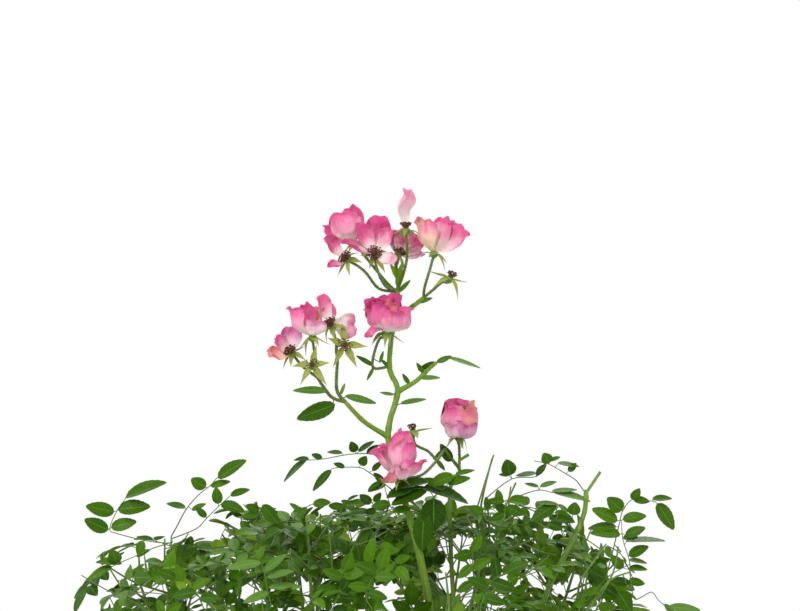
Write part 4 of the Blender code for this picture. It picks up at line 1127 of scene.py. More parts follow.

# Each spray: its node, its colour, its rachis, and its leaflets as root, tip and breadth seen from the front,
# all in mm.
# The grey colour is painted sheen.
SPRAYS = [
    ("foliage_outer_6", "outer", [
        (-191, -109, 366), (-211, -109, 368), (-235, -109, 374), (-241, -109, 378), (-235, -109, 393),
        (-228, -109, 403)], [
        ((-228, -109, 404), (-193, -113, 418), 8), ((-237, -109, 392), (-260, -113, 398), 12),
        ((-234, -109, 394), (-207, -113, 398), 11), ((-242, -109, 377), (-262, -113, 386), 12),
        ((-240, -109, 379), (-219, -113, 385), 10), ((-214, -109, 368), (-217, -113, 356), 8)]),
    ("foliage_outer_6", "outer", [
        (-192, -86, 368), (-187, -86, 377), (-180, -86, 390), (-170, -86, 402), (-159, -86, 411),
        (-154, -86, 417)], [
        ((-153, -86, 417), (-130, -90, 434), 8), ((-163, -86, 409), (-175, -90, 417), 11),
        ((-159, -86, 410), (-143, -86, 416), 5), ((-180, -86, 392), (-196, -86, 397), 4),
        ((-175, -86, 390), (-163, -86, 396), 4)]),
    ("foliage_outer_6", "outer", [
        (-171, -92, 375), (-162, -92, 384), (-152, -92, 394), (-142, -92, 403)], [
        ((-142, -92, 403), (-126, -92, 409), 5), ((-152, -92, 396), (-154, -96, 410), 9),
        ((-150, -92, 396), (-130, -96, 392), 8), ((-162, -92, 385), (-171, -92, 393), 6)]),
    ("foliage_outer_6", "outer", [
        (-190, -118, 368), (-205, -118, 363), (-218, -118, 357), (-232, -118, 351),
        (-238, -118, 348)], [
        ((-234, -118, 351), (-238, -122, 362), 12), ((-238, -118, 348), (-260, -118, 338), 5),
        ((-218, -118, 356), (-207, -118, 363), 3), ((-230, -118, 350), (-252, -118, 353), 4)]),
    ("foliage_upper_1", "dark", [(74, -62, 397), (95, -62, 413), (116, -62, 415), (124, -62, 426)], [
        ((94, -62, 416), (90, -66, 430), 13), ((116, -62, 418), (98, -62, 417), 3),
        ((93, -62, 416), (84, -62, 417), 3), ((116, -62, 416), (124, -62, 426), 4)]),
    ("foliage_upper_1", "grey", [(102, -60, 398), (118, -60, 403), (129, -60, 401)], [
        ((118, -60, 406), (106, -60, 409), 3), ((119, -60, 406), (133, -60, 411), 4),
        ((129, -60, 402), (151, -60, 405), 3), ((130, -60, 401), (163, -60, 396), 4)]),
    ("foliage_upper_1", "outer", [
        (157, -74, 402), (149, -74, 413), (140, -74, 419), (128, -74, 426), (123, -74, 428),
        (113, -74, 430)], [
        ((126, -74, 428), (121, -78, 437), 10), ((127, -74, 430), (135, -74, 434), 3),
        ((133, -74, 428), (152, -74, 427), 3), ((142, -74, 421), (149, -74, 428), 6)]),
    ("foliage_outer_1", "outer", [
        (175, -74, 332), (180, -74, 353), (186, -74, 379), (188, -74, 387), (196, -74, 397),
        (211, -74, 396), (216, -74, 395)], [
        ((188, -74, 388), (175, -78, 399), 13), ((196, -74, 397), (202, -78, 407), 8),
        ((197, -74, 397), (211, -74, 396), 6), ((213, -74, 397), (230, -74, 399), 4),
        ((217, -74, 394), (232, -78, 372), 10), ((184, -74, 379), (163, -78, 391), 10),
        ((188, -74, 380), (208, -78, 384), 8), ((183, -74, 374), (159, -74, 375), 6)]),
    ("foliage_outer_1", "outer", [(194, -78, 322), (194, -78, 344), (188, -78, 364), (187, -78, 380)], [
        ((186, -78, 368), (161, -82, 372), 8), ((190, -78, 367), (206, -82, 375), 8),
        ((188, -78, 365), (201, -78, 366), 5), ((190, -78, 362), (224, -78, 366), 2),
        ((193, -78, 350), (209, -82, 359), 8), ((188, -78, 339), (178, -82, 351), 9),
        ((193, -78, 346), (209, -78, 345), 3), ((193, -78, 339), (209, -78, 339), 4),
        ((193, -78, 329), (207, -78, 326), 7)]),
    ("foliage_outer_1", "dark", [(157, -80, 311), (172, -80, 329), (181, -80, 336), (194, -80, 343)], [
        ((173, -80, 331), (158, -84, 339), 8), ((179, -80, 329), (195, -80, 327), 7),
        ((171, -80, 324), (186, -80, 315), 7), ((184, -80, 320), (195, -84, 303), 14)]),
    ("foliage_outer_1", "grey", [
        (197, -84, 315), (204, -84, 316), (212, -84, 320), (218, -84, 313), (225, -84, 307)], [
        ((226, -84, 307), (254, -84, 306), 6), ((223, -84, 310), (233, -84, 299), 5)]),
    ("leaf_left_upper", "dark", [
        (2, -92, 401), (-3, -92, 418), (-13, -92, 432), (-23, -92, 438), (-42, -92, 438),
        (-64, -92, 434), (-78, -92, 433)], [
        ((-37, -92, 440), (-41, -96, 449), 8), ((-48, -92, 439), (-61, -92, 440), 3),
        ((-65, -92, 435), (-74, -92, 438), 5), ((-76, -92, 434), (-89, -92, 434), 3),
        ((-78, -92, 433), (-100, -92, 417), 4), ((-35, -92, 440), (-22, -92, 450), 3),
        ((-28, -92, 439), (-18, -92, 447), 3)]),
    ("leaf_left_lower", "dark", [
        (2, -100, 402), (-10, -100, 412), (-26, -100, 424), (-34, -100, 428), (-50, -100, 428),
        (-57, -100, 427)], [
        ((-33, -100, 430), (-28, -104, 438), 8), ((-46, -100, 428), (-55, -100, 432), 4),
        ((-57, -100, 426), (-74, -100, 410), 4), ((-23, -100, 425), (-15, -100, 433), 4),
        ((-16, -100, 416), (-27, -100, 409), 3)]),
    ("leaf_front", "dark", [(3, -104, 406), (13, -104, 411), (23, -104, 410), (28, -104, 404)], [
        ((28, -104, 403), (28, -108, 375), 21), ((18, -104, 411), (58, -104, 402), 6),
        ((12, -104, 411), (-12, -104, 405), 6), ((20, -104, 391), (18, -108, 358), 9),
        ((23, -104, 411), (-8, -110, 401), 8), ((25, -100, 416), (-6, -106, 412), 5)]),
    ("leaf_front", "outer", [(28, -104, 404), (36, -102, 410), (44, -100, 419), (46, -99, 422)], [
        ((45, -100, 421), (24, -104, 415), 9), ((40, -102, 414), (58, -104, 421), 6),
        ((36, -102, 410), (20, -106, 420), 6), ((46, -99, 422), (62, -99, 427), 3)]),
    ("foliage_outer_8", "outer", [(-4, -102, 384), (-8, -102, 396), (-12, -98, 408), (-13, -96, 414)], [
        ((-12, -97, 413), (-27, -99, 408), 4), ((-13, -96, 414), (-22, -96, 423), 5),
        ((-10, -98, 404), (6, -102, 410), 7), ((-8, -102, 398), (-24, -102, 396), 7),
        ((-6, -102, 392), (9, -104, 394), 6)]),
    ("foliage_outer_1", "outer", [(60, -150, 328), (60, -150, 343), (59, -150, 358), (59, -150, 366)], [
        ((59, -150, 365), (45, -153, 362), 9), ((59, -150, 355), (47, -153, 345), 7),
        ((59, -150, 352), (73, -153, 361), 8), ((60, -150, 341), (46, -153, 333), 7),
        ((60, -150, 339), (74, -153, 343), 7), ((59, -150, 366), (66, -153, 380), 8)]),
    ("foliage_outer_1", "outer", [(66, -92, 380), (70, -90, 388), (80, -86, 395), (92, -82, 398)], [
        ((92, -82, 398), (108, -82, 400), 5), ((84, -84, 396), (82, -86, 407), 7),
        ((80, -86, 395), (92, -88, 387), 8), ((70, -90, 388), (58, -92, 394), 8),
        ((74, -88, 391), (72, -90, 402), 6)]),
    ("foliage_outer_7", "grey", [
        (-104, -178, 325), (-106, -178, 338), (-108, -178, 350), (-111, -178, 362)], [
        ((-109, -178, 355), (-92, -182, 370), 6), ((-111, -178, 362), (-140, -182, 359), 6),
        ((-107, -178, 350), (-86, -182, 358), 5), ((-106, -178, 342), (-78, -182, 343), 5),
        ((-105, -178, 338), (-126, -182, 331), 6)]),
    ("foliage_outer_7", "outer", [
        (-57, -150, 316), (-52, -150, 326), (-49, -150, 339), (-46, -150, 350)], [
        ((-46, -150, 350), (-39, -154, 366), 10), ((-46, -150, 345), (-29, -154, 352), 8),
        ((-47, -150, 344), (-63, -154, 352), 8), ((-50, -150, 334), (-32, -154, 335), 8),
        ((-51, -150, 333), (-68, -154, 337), 8)]),
    ("foliage_outer_7", "outer", [
        (-155, -196, 326), (-159, -196, 337), (-167, -196, 347), (-178, -196, 353)], [
        ((-178, -196, 353), (-192, -200, 360), 8), ((-172, -196, 350), (-177, -200, 365), 8),
        ((-165, -196, 345), (-151, -196, 353), 7), ((-162, -196, 342), (-181, -200, 339), 8),
        ((-159, -196, 337), (-143, -200, 338), 8)]),
    ("foliage_outer_8", "outer", [
        (-22, -190, 325), (-27, -190, 336), (-23, -190, 350), (-16, -190, 360)], [
        ((-16, -190, 360), (-10, -194, 377), 11), ((-19, -190, 356), (-35, -194, 365), 8),
        ((-21, -190, 353), (-3, -194, 353), 8), ((-25, -190, 344), (-41, -194, 347), 8),
        ((-26, -190, 340), (-10, -194, 336), 8)]),
    ("foliage_outer_1", "dark", [(64, -190, 325), (67, -190, 337), (73, -190, 349), (84, -190, 356)], [
        ((84, -190, 356), (102, -194, 365), 8), ((78, -190, 353), (75, -194, 369), 9),
        ((73, -190, 349), (91, -194, 344), 8), ((70, -190, 344), (54, -194, 353), 8),
        ((67, -190, 336), (84, -194, 332), 8)]),
    ("foliage_outer_8", "outer", [(-49, -85, 380), (-50, -85, 386), (-48, -85, 393), (-44, -85, 398)], [
        ((-49, -85, 393), (-60, -89, 394), 7), ((-47, -85, 394), (-31, -89, 397), 4),
        ((-44, -85, 398), (-35, -85, 403), 2)]),
    ("foliage_outer_7", "outer", [
        (-121, -95, 378), (-119, -95, 385), (-116, -95, 391), (-114, -95, 395)], [
        ((-115, -95, 396), (-101, -99, 380), 11), ((-118, -95, 391), (-128, -99, 396), 8),
        ((-117, -95, 389), (-131, -97, 386), 6)]),
    ("foliage_outer_7", "outer", [(-88, -90, 382), (-83, -90, 389), (-77, -90, 394), (-72, -90, 396)], [
        ((-73, -90, 396), (-58, -94, 398), 7), ((-78, -90, 393), (-86, -94, 386), 5),
        ((-83, -90, 389), (-92, -90, 397), 3)]),
    ("foliage_outer_8", "dark", [(-18, -82, 380), (-19, -82, 387), (-21, -82, 392), (-24, -80, 396)], [
        ((-24, -80, 395), (-34, -82, 402), 8), ((-22, -80, 396), (-16, -82, 404), 6),
        ((-20, -82, 391), (-8, -84, 394), 6), ((-20, -82, 389), (-30, -84, 388), 6)]),
    ("foliage_upper_1", "dark", [(122, -92, 376), (125, -91, 382), (128, -90, 389), (132, -88, 395)], [
        ((131, -88, 395), (109, -92, 383), 8), ((126, -91, 384), (147, -92, 382), 6),
        ((124, -92, 380), (136, -94, 375), 8)]),
    ("foliage_upper_1", "outer", [(142, -90, 377), (144, -90, 382), (145, -88, 386)], [
        ((145, -88, 386), (147, -90, 397), 11)]),
    ("foliage_upper_1", "grey", [(129, -92, 384), (131, -90, 390), (131, -88, 396)], [
        ((131, -88, 395), (114, -88, 398), 3), ((132, -88, 395), (143, -90, 389), 3)]),
    ("foliage_upper_1", "outer", [(87, -92, 381), (88, -92, 389), (88, -90, 395), (89, -88, 399)], [
        ((90, -88, 398), (107, -90, 397), 4), ((88, -88, 398), (71, -90, 398), 5),
        ((89, -92, 394), (104, -94, 387), 9), ((87, -92, 388), (76, -94, 383), 7)]),
]

# Each small leaf or bract of the flowering cane: its node, colour, root, tip and breadth from the front.
# The grey colour is painted sheen here too.
CANE_BRACTS = [
    ("blooms_top", "young", (-3, -57, 577), (2, -60, 597), 5),
    ("blooms_top", "grey", (-6, -57, 573), (-18, -60, 585), 4),
    ("blooms_top", "young", (0, -56, 580), (-8, -60, 596), 4),
    ("blooms_top", "green", (-2, -56, 571), (9, -58, 582), 4),
    ("blooms_left", "dark", (-54, -92, 480), (-86, -97, 468), 14),
    ("blooms_left", "grey", (-60, -91, 491), (-89, -93, 493), 6),
    ("blooms_left", "grey", (-46, -82, 486), (-19, -77, 480), 6),
    ("blooms_left", "grey", (-50, -86, 487), (-46, -87, 497), 3),
    ("bloom_middle", "green", (-22, -70, 510), (-37, -71, 519), 4),
    ("bloom_middle", "green", (-22, -70, 509), (-28, -72, 498), 3),
    ("bloom_middle", "green", (-17, -74, 513), (-14, -75, 523), 3),
    ("flowering_cane", "green", (-9, -62, 508), (-17, -64, 516), 3),
    ("flowering_cane", "grey", (-5, -72, 486), (-17, -74, 488), 3),
    ("flowering_cane", "grey", (0, -70, 478), (22, -74, 483), 4),
    ("bough_right", "green", (8, -64, 494), (2, -66, 503), 4),
    ("bough_right", "grey", (16, -61, 499), (34, -63, 500), 4),
    ("bough_right", "green", (20, -60, 503), (14, -62, 512), 4),
    ("leaves_right", "grey", (31, -56, 512), (44, -56, 517), 5),
    ("leaves_right", "grey", (40, -55, 516), (69, -55, 508), 3),
    ("leaves_right", "dark", (30, -56, 512), (15, -58, 505), 5),
    ("bough_top_right", "green", (14, -48, 562), (28, -47, 566), 4),
    ("bough_top_right", "green", (5, -52, 554), (12, -53, 562), 3),
    ("blooms_low", "dark", (44, -41, 425), (35, -46, 440), 9),
    ("blooms_low", "green", (38, -46, 436), (29, -48, 428), 4),
    ("blooms_low", "green", (31, -66, 430), (38, -68, 421), 4),
]

leaflets = {}
leaf_rachises = []


def lay_leaflet(kind, rng, foot, root, tip, front, spread):
    """Lays a leaflet down between two points, on a stalk from its foot. The less of it shows from the front,
    the more it lies flat."""
    run = tip - root + FRONT * rng.uniform(*LAID_SLANT) * (tip - root).length
    width = max(front, run.length * spread)
    share = min(front / width, 1)
    face = side(run.normalized(), FRONT * share + UP * math.sqrt(1 - share**2) * rng.choice(LAID_LIFT))
    leaf_rachises.append([(foot, PETIOLULE_RADIUS), (root + run * PETIOLULE_OVERLAP, PETIOLULE_TIP_RADIUS)])
    leaflets.setdefault(kind, []).append((
        root, run, face.cross(run.normalized()) * width, face,
        rng.uniform(*LAID_FOLD), rng.uniform(*LAID_ARCH), rng.uniform(*BLADE_TINT)))


def places_along(lines, steps):
    """The points that cut each of the lines into that many equal steps."""
    return [along(line, k / steps)[0] for line in lines for k in range(steps + 1)]


spray_rng = random.Random("sprays")
hosts = places_along([line for name in middles for line in shoots[name] + tall[name]], HOST_STEPS)
hosts += [limb_lines["cane_right"][-1], mm(LOW_FORK)]
blade_finishes["outer"] = leaf_blade("waxy_outer_leaf", "#4E780C", "#2C5206", "#789A34", "#5C7E24", 0.27)
for node, kind, points, laid in SPRAYS:
    line = [mm(point) for point in points]
    # A spray that is part of the crown starts on the shoot nearest to it.
    if node in middles:
        line.insert(0, nearest(hosts, line[0]))
    line = route(line, SHOOT_SMOOTHING)
    leaf_rachises.append(tapered(line, SPRAY_RACHIS_RADIUS, PETIOLULE_RADIUS))
    for root, tip, front in laid:
        foot = nearest(line, mm(root))
        spread = GREY_SPREAD if kind == "grey" else LEAFLET_SPREAD
        lay_leaflet(kind, spray_rng, foot, mm(root), mm(tip), front / 1000, spread)
for _, kind, root, tip, front in CANE_BRACTS:
    lay_leaflet(kind, spray_rng, mm(root), mm(root), mm(tip), front / 1000, BRACT_SPREAD)
spray_nodes = sorted({spray[0] for spray in SPRAYS + CANE_BRACTS} - set(bough_lines) - {"flowering_cane"})
spray_nodes.append("leaves_far_right")
for kind, copies in leaflets.items():
    piece = joined_copies("spray_leaflets_" + kind, leaflet, copies, blade_finishes[kind])
    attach(piece, "root")
    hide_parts(*spray_nodes)
spray_rachises = tubes("spray_rachises", leaf_rachises, sides=6, material=rachis_skin)
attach(spray_rachises, "root")
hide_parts(*spray_nodes)


# ------------------------------ blooms
# Clusters of semi-double blooms past their best, most without some of their petals or all. Each sits on a
# smooth green hip at the end of a bristly stalk, with five sepals and, once open, a tuft of browned stamens.
# Petals are thin, cupped sheets, deep pink at the rim and white at the foot.

# Hips and stalks. The seats are how far up the hip, in hip lengths, and out from it, in hip radii, each
# part of a bloom starts. The urn and the tuft are heights and breadths in hip lengths and radii.
HIP_RADIUS = 0.0038
HIP_LENGTH = 0.0075
HIP_URN = [
    (-0.62, 0.28), (-0.50, 0.52), (-0.34, 0.84), (-0.16, 1.0), (0.02, 0.94), (0.16, 0.78), (0.22, 0.62)]
STYLE_TUFT = [(0.10, 0.60), (0.30, 0.58), (0.42, 0.42), (0.50, 0.16)]
STALK_RADIUS = 0.00125
STALK_TOP_RADIUS = STALK_RADIUS * 0.9
STALK_STEPS = 5
STALK_END = 0.55
STALK_CUT = 0.75
CLUSTER_TWIG_RADIUS = STALK_RADIUS * 1.25
BRACT_STALK_RADIUS = 0.00060
BRACT_STALK_OVERLAP = 0.06
CARRIER_STEPS = 40
SEPAL_SEAT_OUT = 0.7
STAMEN_SEAT_UP = 0.18
PETAL_SEAT_UP = 0.16
SEAT_OUT = 0.5

# Sepals: those of a bloom without petals are longer.
SEPAL_COUNT = 5
SEPAL_LENGTH = 0.0135
SEPAL_LENGTH_RANGE = (0.8, 1.25)
SEPAL_WIDTH = 0.0052
SEPAL_WIDTH_RANGE = (0.85, 1.15)
SEPAL_TURN = (-0.15, 0.15)
SEPAL_OPENING = (-12, 12)
SEPAL_DROOP = (0.05, 0.40)
SEPAL_FOLD = (0.1, 0.5)
SEPAL_ARCH = (-0.25, 0.55)
BARE_SEPAL_SIZE = 1.25

# Stamens: their tuft opens wider, in degrees, the more a bloom looks forwards.
FILAMENT_LENGTH = (0.0028, 0.0060)
FILAMENT_RADIUS = 0.00017
FILAMENT_TIP_RADIUS = FILAMENT_RADIUS * 0.8
FILAMENT_BOW = 0.0009
FILAMENT_STEPS = 2
TUFT_OPENING = 44
TUFT_OPENING_FORWARDS = 28
ANTHER_LENGTH = 0.0017
ANTHER_RADIUS = ANTHER_LENGTH * 0.34
ANTHER_TILT = math.radians(70)
ANTHER_FORM = [(0, 0.3), (0.25, 0.9), (0.5, 1), (0.75, 0.9), (1, 0.3)]

# Petals. Each wave is its depth, how often it turns, its phase and the power by which it fades downwards.
# The rags, lumps, wrinkles and creases are noise: how much of it a petal spans, and where in it that lies.
PETAL_THICKNESS = 0.00035
PETAL_STEPS = 14
PETAL_FOOT_BREADTH = 0.16
PETAL_BROADEST = 0.66
PETAL_WIDENING = 1.1
PETAL_TOP_SPAN = 0.34
PETAL_TOP_NARROWING = 0.10
PETAL_BEND = 1.43
PETAL_BELLY_REACH = 1.05
PETAL_REFLEX = 0.15
REFLEX_FROM = 0.72
REFLEX_SPAN = 0.28
REFLEX_LEAST = 0.6
CORNER_ROUNDING = 0.24
CORNER_SHARPNESS = 2.6
NOTCH_PLACE = (-0.3, 0.3)
NOTCH_DEPTH = 0.06
NOTCH_WIDTH = 0.25
RIM_RAGGEDNESS = 0.09
RAGS_ACROSS, RAGS_PLACE = 2.5, 4.0
PETAL_WAVES = [(0.075, 5.0, 1, 3), (0.045, 11.0, 2, 5)]
LUMP_DEPTH = 0.16
LUMPS_ACROSS, LUMPS_UP = 1.7, 2.4
WRINKLE_DEPTH = 0.06
WRINKLES_ACROSS, WRINKLES_UP = 4.5, 5.0
CREASE_DEPTH = 0.20
CREASES_ACROSS, CREASES_UP, CREASES_PLACE = 2.2, 2.6, 7.0
CREASE_LEVEL = 0.2
CREASED_FROM_FOOT = 1.6

# Each bloom: the cluster that it belongs to, its stalk from the fork to its foot, the point that it looks at,
# how far its sepals open in degrees, how many stamens it keeps, and its petals. Each petal: its tip, its
# width, the way its inner side faces, how deeply it is cupped across, how far it bellies out, and its colour.
# Points and widths are in mm.
BLOOMS = [
    ("blooms_top", [(-3, -56, 572), (-12, -50, 580), (-27, -47, 598), (-39, -48, 613)],
     (-47, -52, 631), 110, 40, [
        ((-52, -58, 640), 30, (0.2, 0.9, 0.4), 0.55, 0.22, "pink"),
        ((-42, -42, 645), 20, (-0.1, -1, 0.3), 0.4, 0.16, "deep"),
        ((-64, -52, 628), 15, (0.3, -0.8, 0.5), 0.5, 0.2, "deep"),
        ((-36, -46, 632), 14, (-0.5, -0.8, 0.2), 0.6, 0.2, "deep"),
    ]),
    ("blooms_top", [(-3, -56, 572), (-18, -62, 575), (-30, -68, 590), (-44, -70, 600)],
     (-54, -80, 610), 95, 84, [
        ((-60, -80, 596), 9, (0, -0.6, 0.8), 0.8, 0.2, "deep"),
        ((-62, -72, 621), 12, (0.3, -0.9, 0.3), 0.6, 0.25, "deep"),
    ]),
    ("blooms_top", [(-3, -56, 572), (-13, -64, 578), (-20, -68, 594), (-21, -66, 604)],
     (-23, -82, 611), 115, 84, [
        ((-17, -60, 638), 22, (-0.1, -1, 0.1), 0.45, 0.20, "deep"),
        ((-34, -64, 631), 15, (0.3, -1, 0), 0.5, 0.16, "deep"),
        ((-47, -86, 618), 11, (0.5, -0.3, 0.8), 0.9, 0.12, "deep"),
        ((-4, -86, 600), 12, (-0.8, -0.2, 0.5), 0.8, 0.14, "pale"),
        ((-8, -66, 627), 14, (-0.6, -0.8, 0), 0.6, 0.20, "pink"),
    ]),
    ("blooms_top", [(-3, -56, 572), (2, -55, 584), (6, -54, 602), (5, -54, 624)],
     (5, -54, 640), 88, 84, [
        ((9, -50, 660), 18, (0.80, -0.65, 0), 0.62, 0.26, "pale"),
    ]),
    ("blooms_top", [(-3, -56, 572), (-1, -50, 582), (-3, -48, 592), (-2, -48, 602)],
     (4, -42, 614), 120, 84, [
        ((-2, -40, 624), 14, (0.2, -0.9, 0.2), 0.5, 0.18, "deep"),
        ((8, -38, 625), 17, (0, -0.9, 0.3), 0.5, 0.15, "pink"),
        ((19, -36, 618), 18, (-0.2, -0.9, 0.3), 0.5, 0.15, "pink"),
        ((21, -40, 605), 12, (-0.3, -0.7, 0.6), 0.6, 0.15, "pale"),
    ]),
    ("blooms_top_right", [(20, -46, 566), (21, -46, 575), (26, -45, 592), (29, -45, 604)],
     (31, -45, 617), 105, 0, [
        ((20, -50, 636), 22, (0.6, 0.7, 0.2), 0.6, 0.22, "cream"),
        ((38, -38, 636), 18, (-0.2, -0.9, 0.2), 0.5, 0.16, "pink"),
        ((55, -48, 627), 28, (-0.5, -0.7, 0.5), 0.55, 0.16, "pink"),
        ((47, -34, 633), 20, (-0.4, -0.9, 0.2), 0.4, 0.18, "deep"),
    ]),
    ("blooms_top_right", [(20, -46, 566), (28, -50, 573), (36, -53, 580), (42, -55, 583)],
     (47, -57, 594), 75, 44, []),
    ("bloom_middle", [(-9, -62, 509), (-23, -70, 509), (-19, -77, 530), (-12, -82, 539)],
     (-9, -85, 557), 100, 0, [
        ((-24, -74, 570), 22, (0.5, -0.7, 0.2), 0.7, 0.26, "deep"),
        ((-8, -66, 573), 22, (0, -1, 0.2), 0.6, 0.24, "deep"),
        ((-1, -68, 574), 9, (-0.3, -0.9, 0.2), 0.7, 0.24, "deep"),
        ((10, -82, 562), 24, (-0.9, 0.3, 0.3), 0.8, 0.36, "pink"),
        ((-26, -88, 562), 18, (0.9, 0.2, 0.3), 0.7, 0.3, "deep"),
        ((-18, -96, 568), 17, (0.5, 0.8, 0.3), 0.8, 0.28, "deep"),
        ((-3, -99, 561), 20, (-0.3, 0.9, 0.4), 0.8, 0.3, "pink"),
        ((-6, -91, 568), 15, (0.4, 0.7, 0.3), 0.9, 0.2, "salmon"),
        ((-12, -84, 563), 16, (0.3, -0.9, 0.3), 0.9, 0.2, "deep"),
        ((-29, -92, 538), 8, (0.3, -0.5, 0.8), 0.9, -0.2, "deep"),
    ]),
    ("blooms_left", [(-58, -86, 486), (-69, -88, 502), (-73, -95, 513)],
     (-74, -106, 517), 74, 14, []),
    ("blooms_left", [(-69, -88, 502), (-70, -84, 514), (-72, -86, 526), (-73, -88, 536)],
     (-74, -88, 549), 115, 0, [
        ((-89, -92, 564), 22, (0.8, 0.4, 0.3), 0.8, 0.3, "pink"),
        ((-79, -84, 565), 16, (0.2, -0.9, 0.1), 0.5, 0.2, "deep"),
        ((-71, -80, 562), 13, (-0.3, -0.9, 0.2), 0.6, 0.2, "salmon"),
        ((-71, -100, 552), 22, (0, 0.9, 0.5), 0.6, 0.28, "pale"),
    ]),
    ("blooms_left", [(-69, -88, 502), (-80, -87, 510), (-84, -86, 514), (-90, -87, 522)],
     (-96, -93, 531), 110, 84, [
        ((-91, -84, 546), 18, (-0.2, -0.9, 0.3), 0.5, 0.16, "lilac"),
        ((-103, -92, 537), 13, (0.4, -0.8, 0.4), 0.6, 0.2, "pink"),
        ((-110, -98, 524), 14, (0.5, -0.5, 0.7), 0.7, 0.16, "salmon"),
    ]),
    ("blooms_left", [(-52, -90, 517), (-53, -92, 528), (-46, -94, 530)],
     (-45, -106, 532), 84, 26, []),
    ("blooms_left", [(-52, -90, 517), (-54, -86, 534), (-57, -84, 545)],
     (-63, -90, 554), 100, 84, [
        ((-66, -82, 572), 14, (0.5, -0.8, 0.1), 0.7, 0.2, "pink"),
        ((-60, -76, 564), 11, (0, -0.9, 0.2), 0.5, 0.2, "deep"),
        ((-36, -78, 543), 22, (0.1, -1, 0.15), 0.40, 0.12, "pale"),
    ]),
    ("blooms_low", [(51, -37, 418), (51, -40, 432), (50, -45, 447)],
     (52, -47, 466), 125, 0, [
        ((49, -38, 480), 28, (0.1, -1, 0), 0.9, 0.34, "deep"),
        ((58, -42, 479), 26, (-1, -0.2, 0), 0.9, 0.40, "salmon"),
        ((44, -45, 479), 25, (1, 0.1, 0), 0.9, 0.40, "pink"),
        ((45, -55, 477), 22, (0.6, 0.8, 0.1), 0.9, 0.38, "pink"),
        ((59, -54, 475), 24, (-0.6, 0.8, 0.1), 0.9, 0.40, "salmon"),
        ((52, -52, 480), 13, (-0.5, -0.8, 0.2), 0.9, 0.20, "deep"),
        ((43, -61, 463), 16, (0.4, 0.9, 0.3), 0.8, 0.42, "pale"),
        ((57, -62, 463), 24, (-0.2, 0.9, 0.3), 0.8, 0.44, "lilac"),
    ]),
    ("blooms_low", [(38, -46, 436), (31, -66, 429), (17, -92, 420), (-2, -104, 420)],
     (-1, -106, 438), 85, 0, [
        ((3, -100, 459), 23, (0.1, 0.9, 0.3), 0.7, 0.22, "pink"),
        ((5, -112, 455), 22, (-0.1, 0.9, 0.3), 0.6, 0.26, "pink"),
        ((-22, -106, 445), 16, (0.5, -0.2, 0.8), 0.95, 0.10, "pink"),
        ((-14, -100, 450), 14, (0.6, -0.7, 0.2), 0.7, 0.20, "pink"),
        ((18, -120, 440), 21, (-0.3, 0.5, 0.8), 0.55, 0.20, "pink"),
        ((-13, -120, 424), 17, (0.2, 0.9, 0.4), 0.6, 0.30, "salmon"),
        ((2, -121, 432), 17, (0, 0.9, 0.4), 0.7, 0.34, "pale"),
        ((0, -102, 462), 5, (0, -1, 0), 0.6, 0.1, "pink"),
    ]),
    ("blooms_low", [(31, -66, 429), (24, -58, 436), (13, -66, 443), (11, -68, 454)],
     (10, -68, 466), 78, 34, []),
]

# Twigs within the clusters, from a bough's tip to the forks that the stalks leave, as points in mm.
CLUSTER_TWIGS = [
    [(-46, -83, 481), (-58, -86, 486), (-69, -88, 502)],
    [(-46, -83, 481), (-53, -86, 492), (-52, -90, 517)],
    [(51, -36, 414), (51, -37, 418), (46, -40, 425), (38, -46, 436)],
]
cluster_nodes = list(dict.fromkeys(bloom[0] for bloom in BLOOMS))


def petal_half_width(v, width):
    """Half of a petal's width at a share of its length: narrow at its foot, broadest two thirds up."""
    widening = math.sin(math.pi / 2 * min(v / PETAL_BROADEST, 1)) ** PETAL_WIDENING
    half = width / 2 * (PETAL_FOOT_BREADTH + (1 - PETAL_FOOT_BREADTH) * widening)
    return half * (1 - PETAL_TOP_NARROWING * (max(v - PETAL_BROADEST, 0) / PETAL_TOP_SPAN) ** 2)


def petal_reach(u, v, notch):
    """How far up a petal a place lies, as a share of its length: less at the rim's corners and its notch."""
    corner = CORNER_ROUNDING * abs(u) ** CORNER_SHARPNESS * v**2
    nick = NOTCH_DEPTH * v**4 * math.exp(-((u - notch) / NOTCH_WIDTH) ** 2)
    return v - corner - nick


def cup_chord(cup):
    """Half of the straight distance across a cupped petal, beside the radius of its bend."""
    return math.sin(min(cup * PETAL_BEND, math.pi / 2))


def petal_lift(u, v, half, length, width, cup, belly, wave):
    """How far a place on a petal stands out towards its inner side: by its cup and its belly, by the rim
    that rolls back, and by its waves, lumps, wrinkles and creases."""
    lift = half * (1 - math.cos(u * cup * PETAL_BEND)) / cup_chord(cup)
    lift -= belly * length * math.sin(math.pi * min(v * PETAL_BELLY_REACH, 1))
    rolled = (max(v - REFLEX_FROM, 0) / REFLEX_SPAN) ** 2
    lift -= PETAL_REFLEX * length * rolled * (REFLEX_LEAST + abs(belly))
    for depth, turns, phase, power in PETAL_WAVES:
        lift += depth * width * math.sin(turns * u + phase * wave) * v**power
    lumps = Vector((u * LUMPS_ACROSS + wave, v * LUMPS_UP, wave))
    lift += LUMP_DEPTH * width * noise.noise(lumps) * v
    wrinkles = Vector((u * WRINKLES_ACROSS, v * WRINKLES_UP + wave, wave))
    lift += WRINKLE_DEPTH * width * noise.noise(wrinkles) * v
    creases = Vector((u * CREASES_ACROSS + 3 * wave, v * CREASES_UP + wave, CREASES_PLACE))
    raised = abs(noise.noise(creases)) - CREASE_LEVEL
    return lift + CREASE_DEPTH * width * raised * min(v * CREASED_FROM_FOOT, 1)


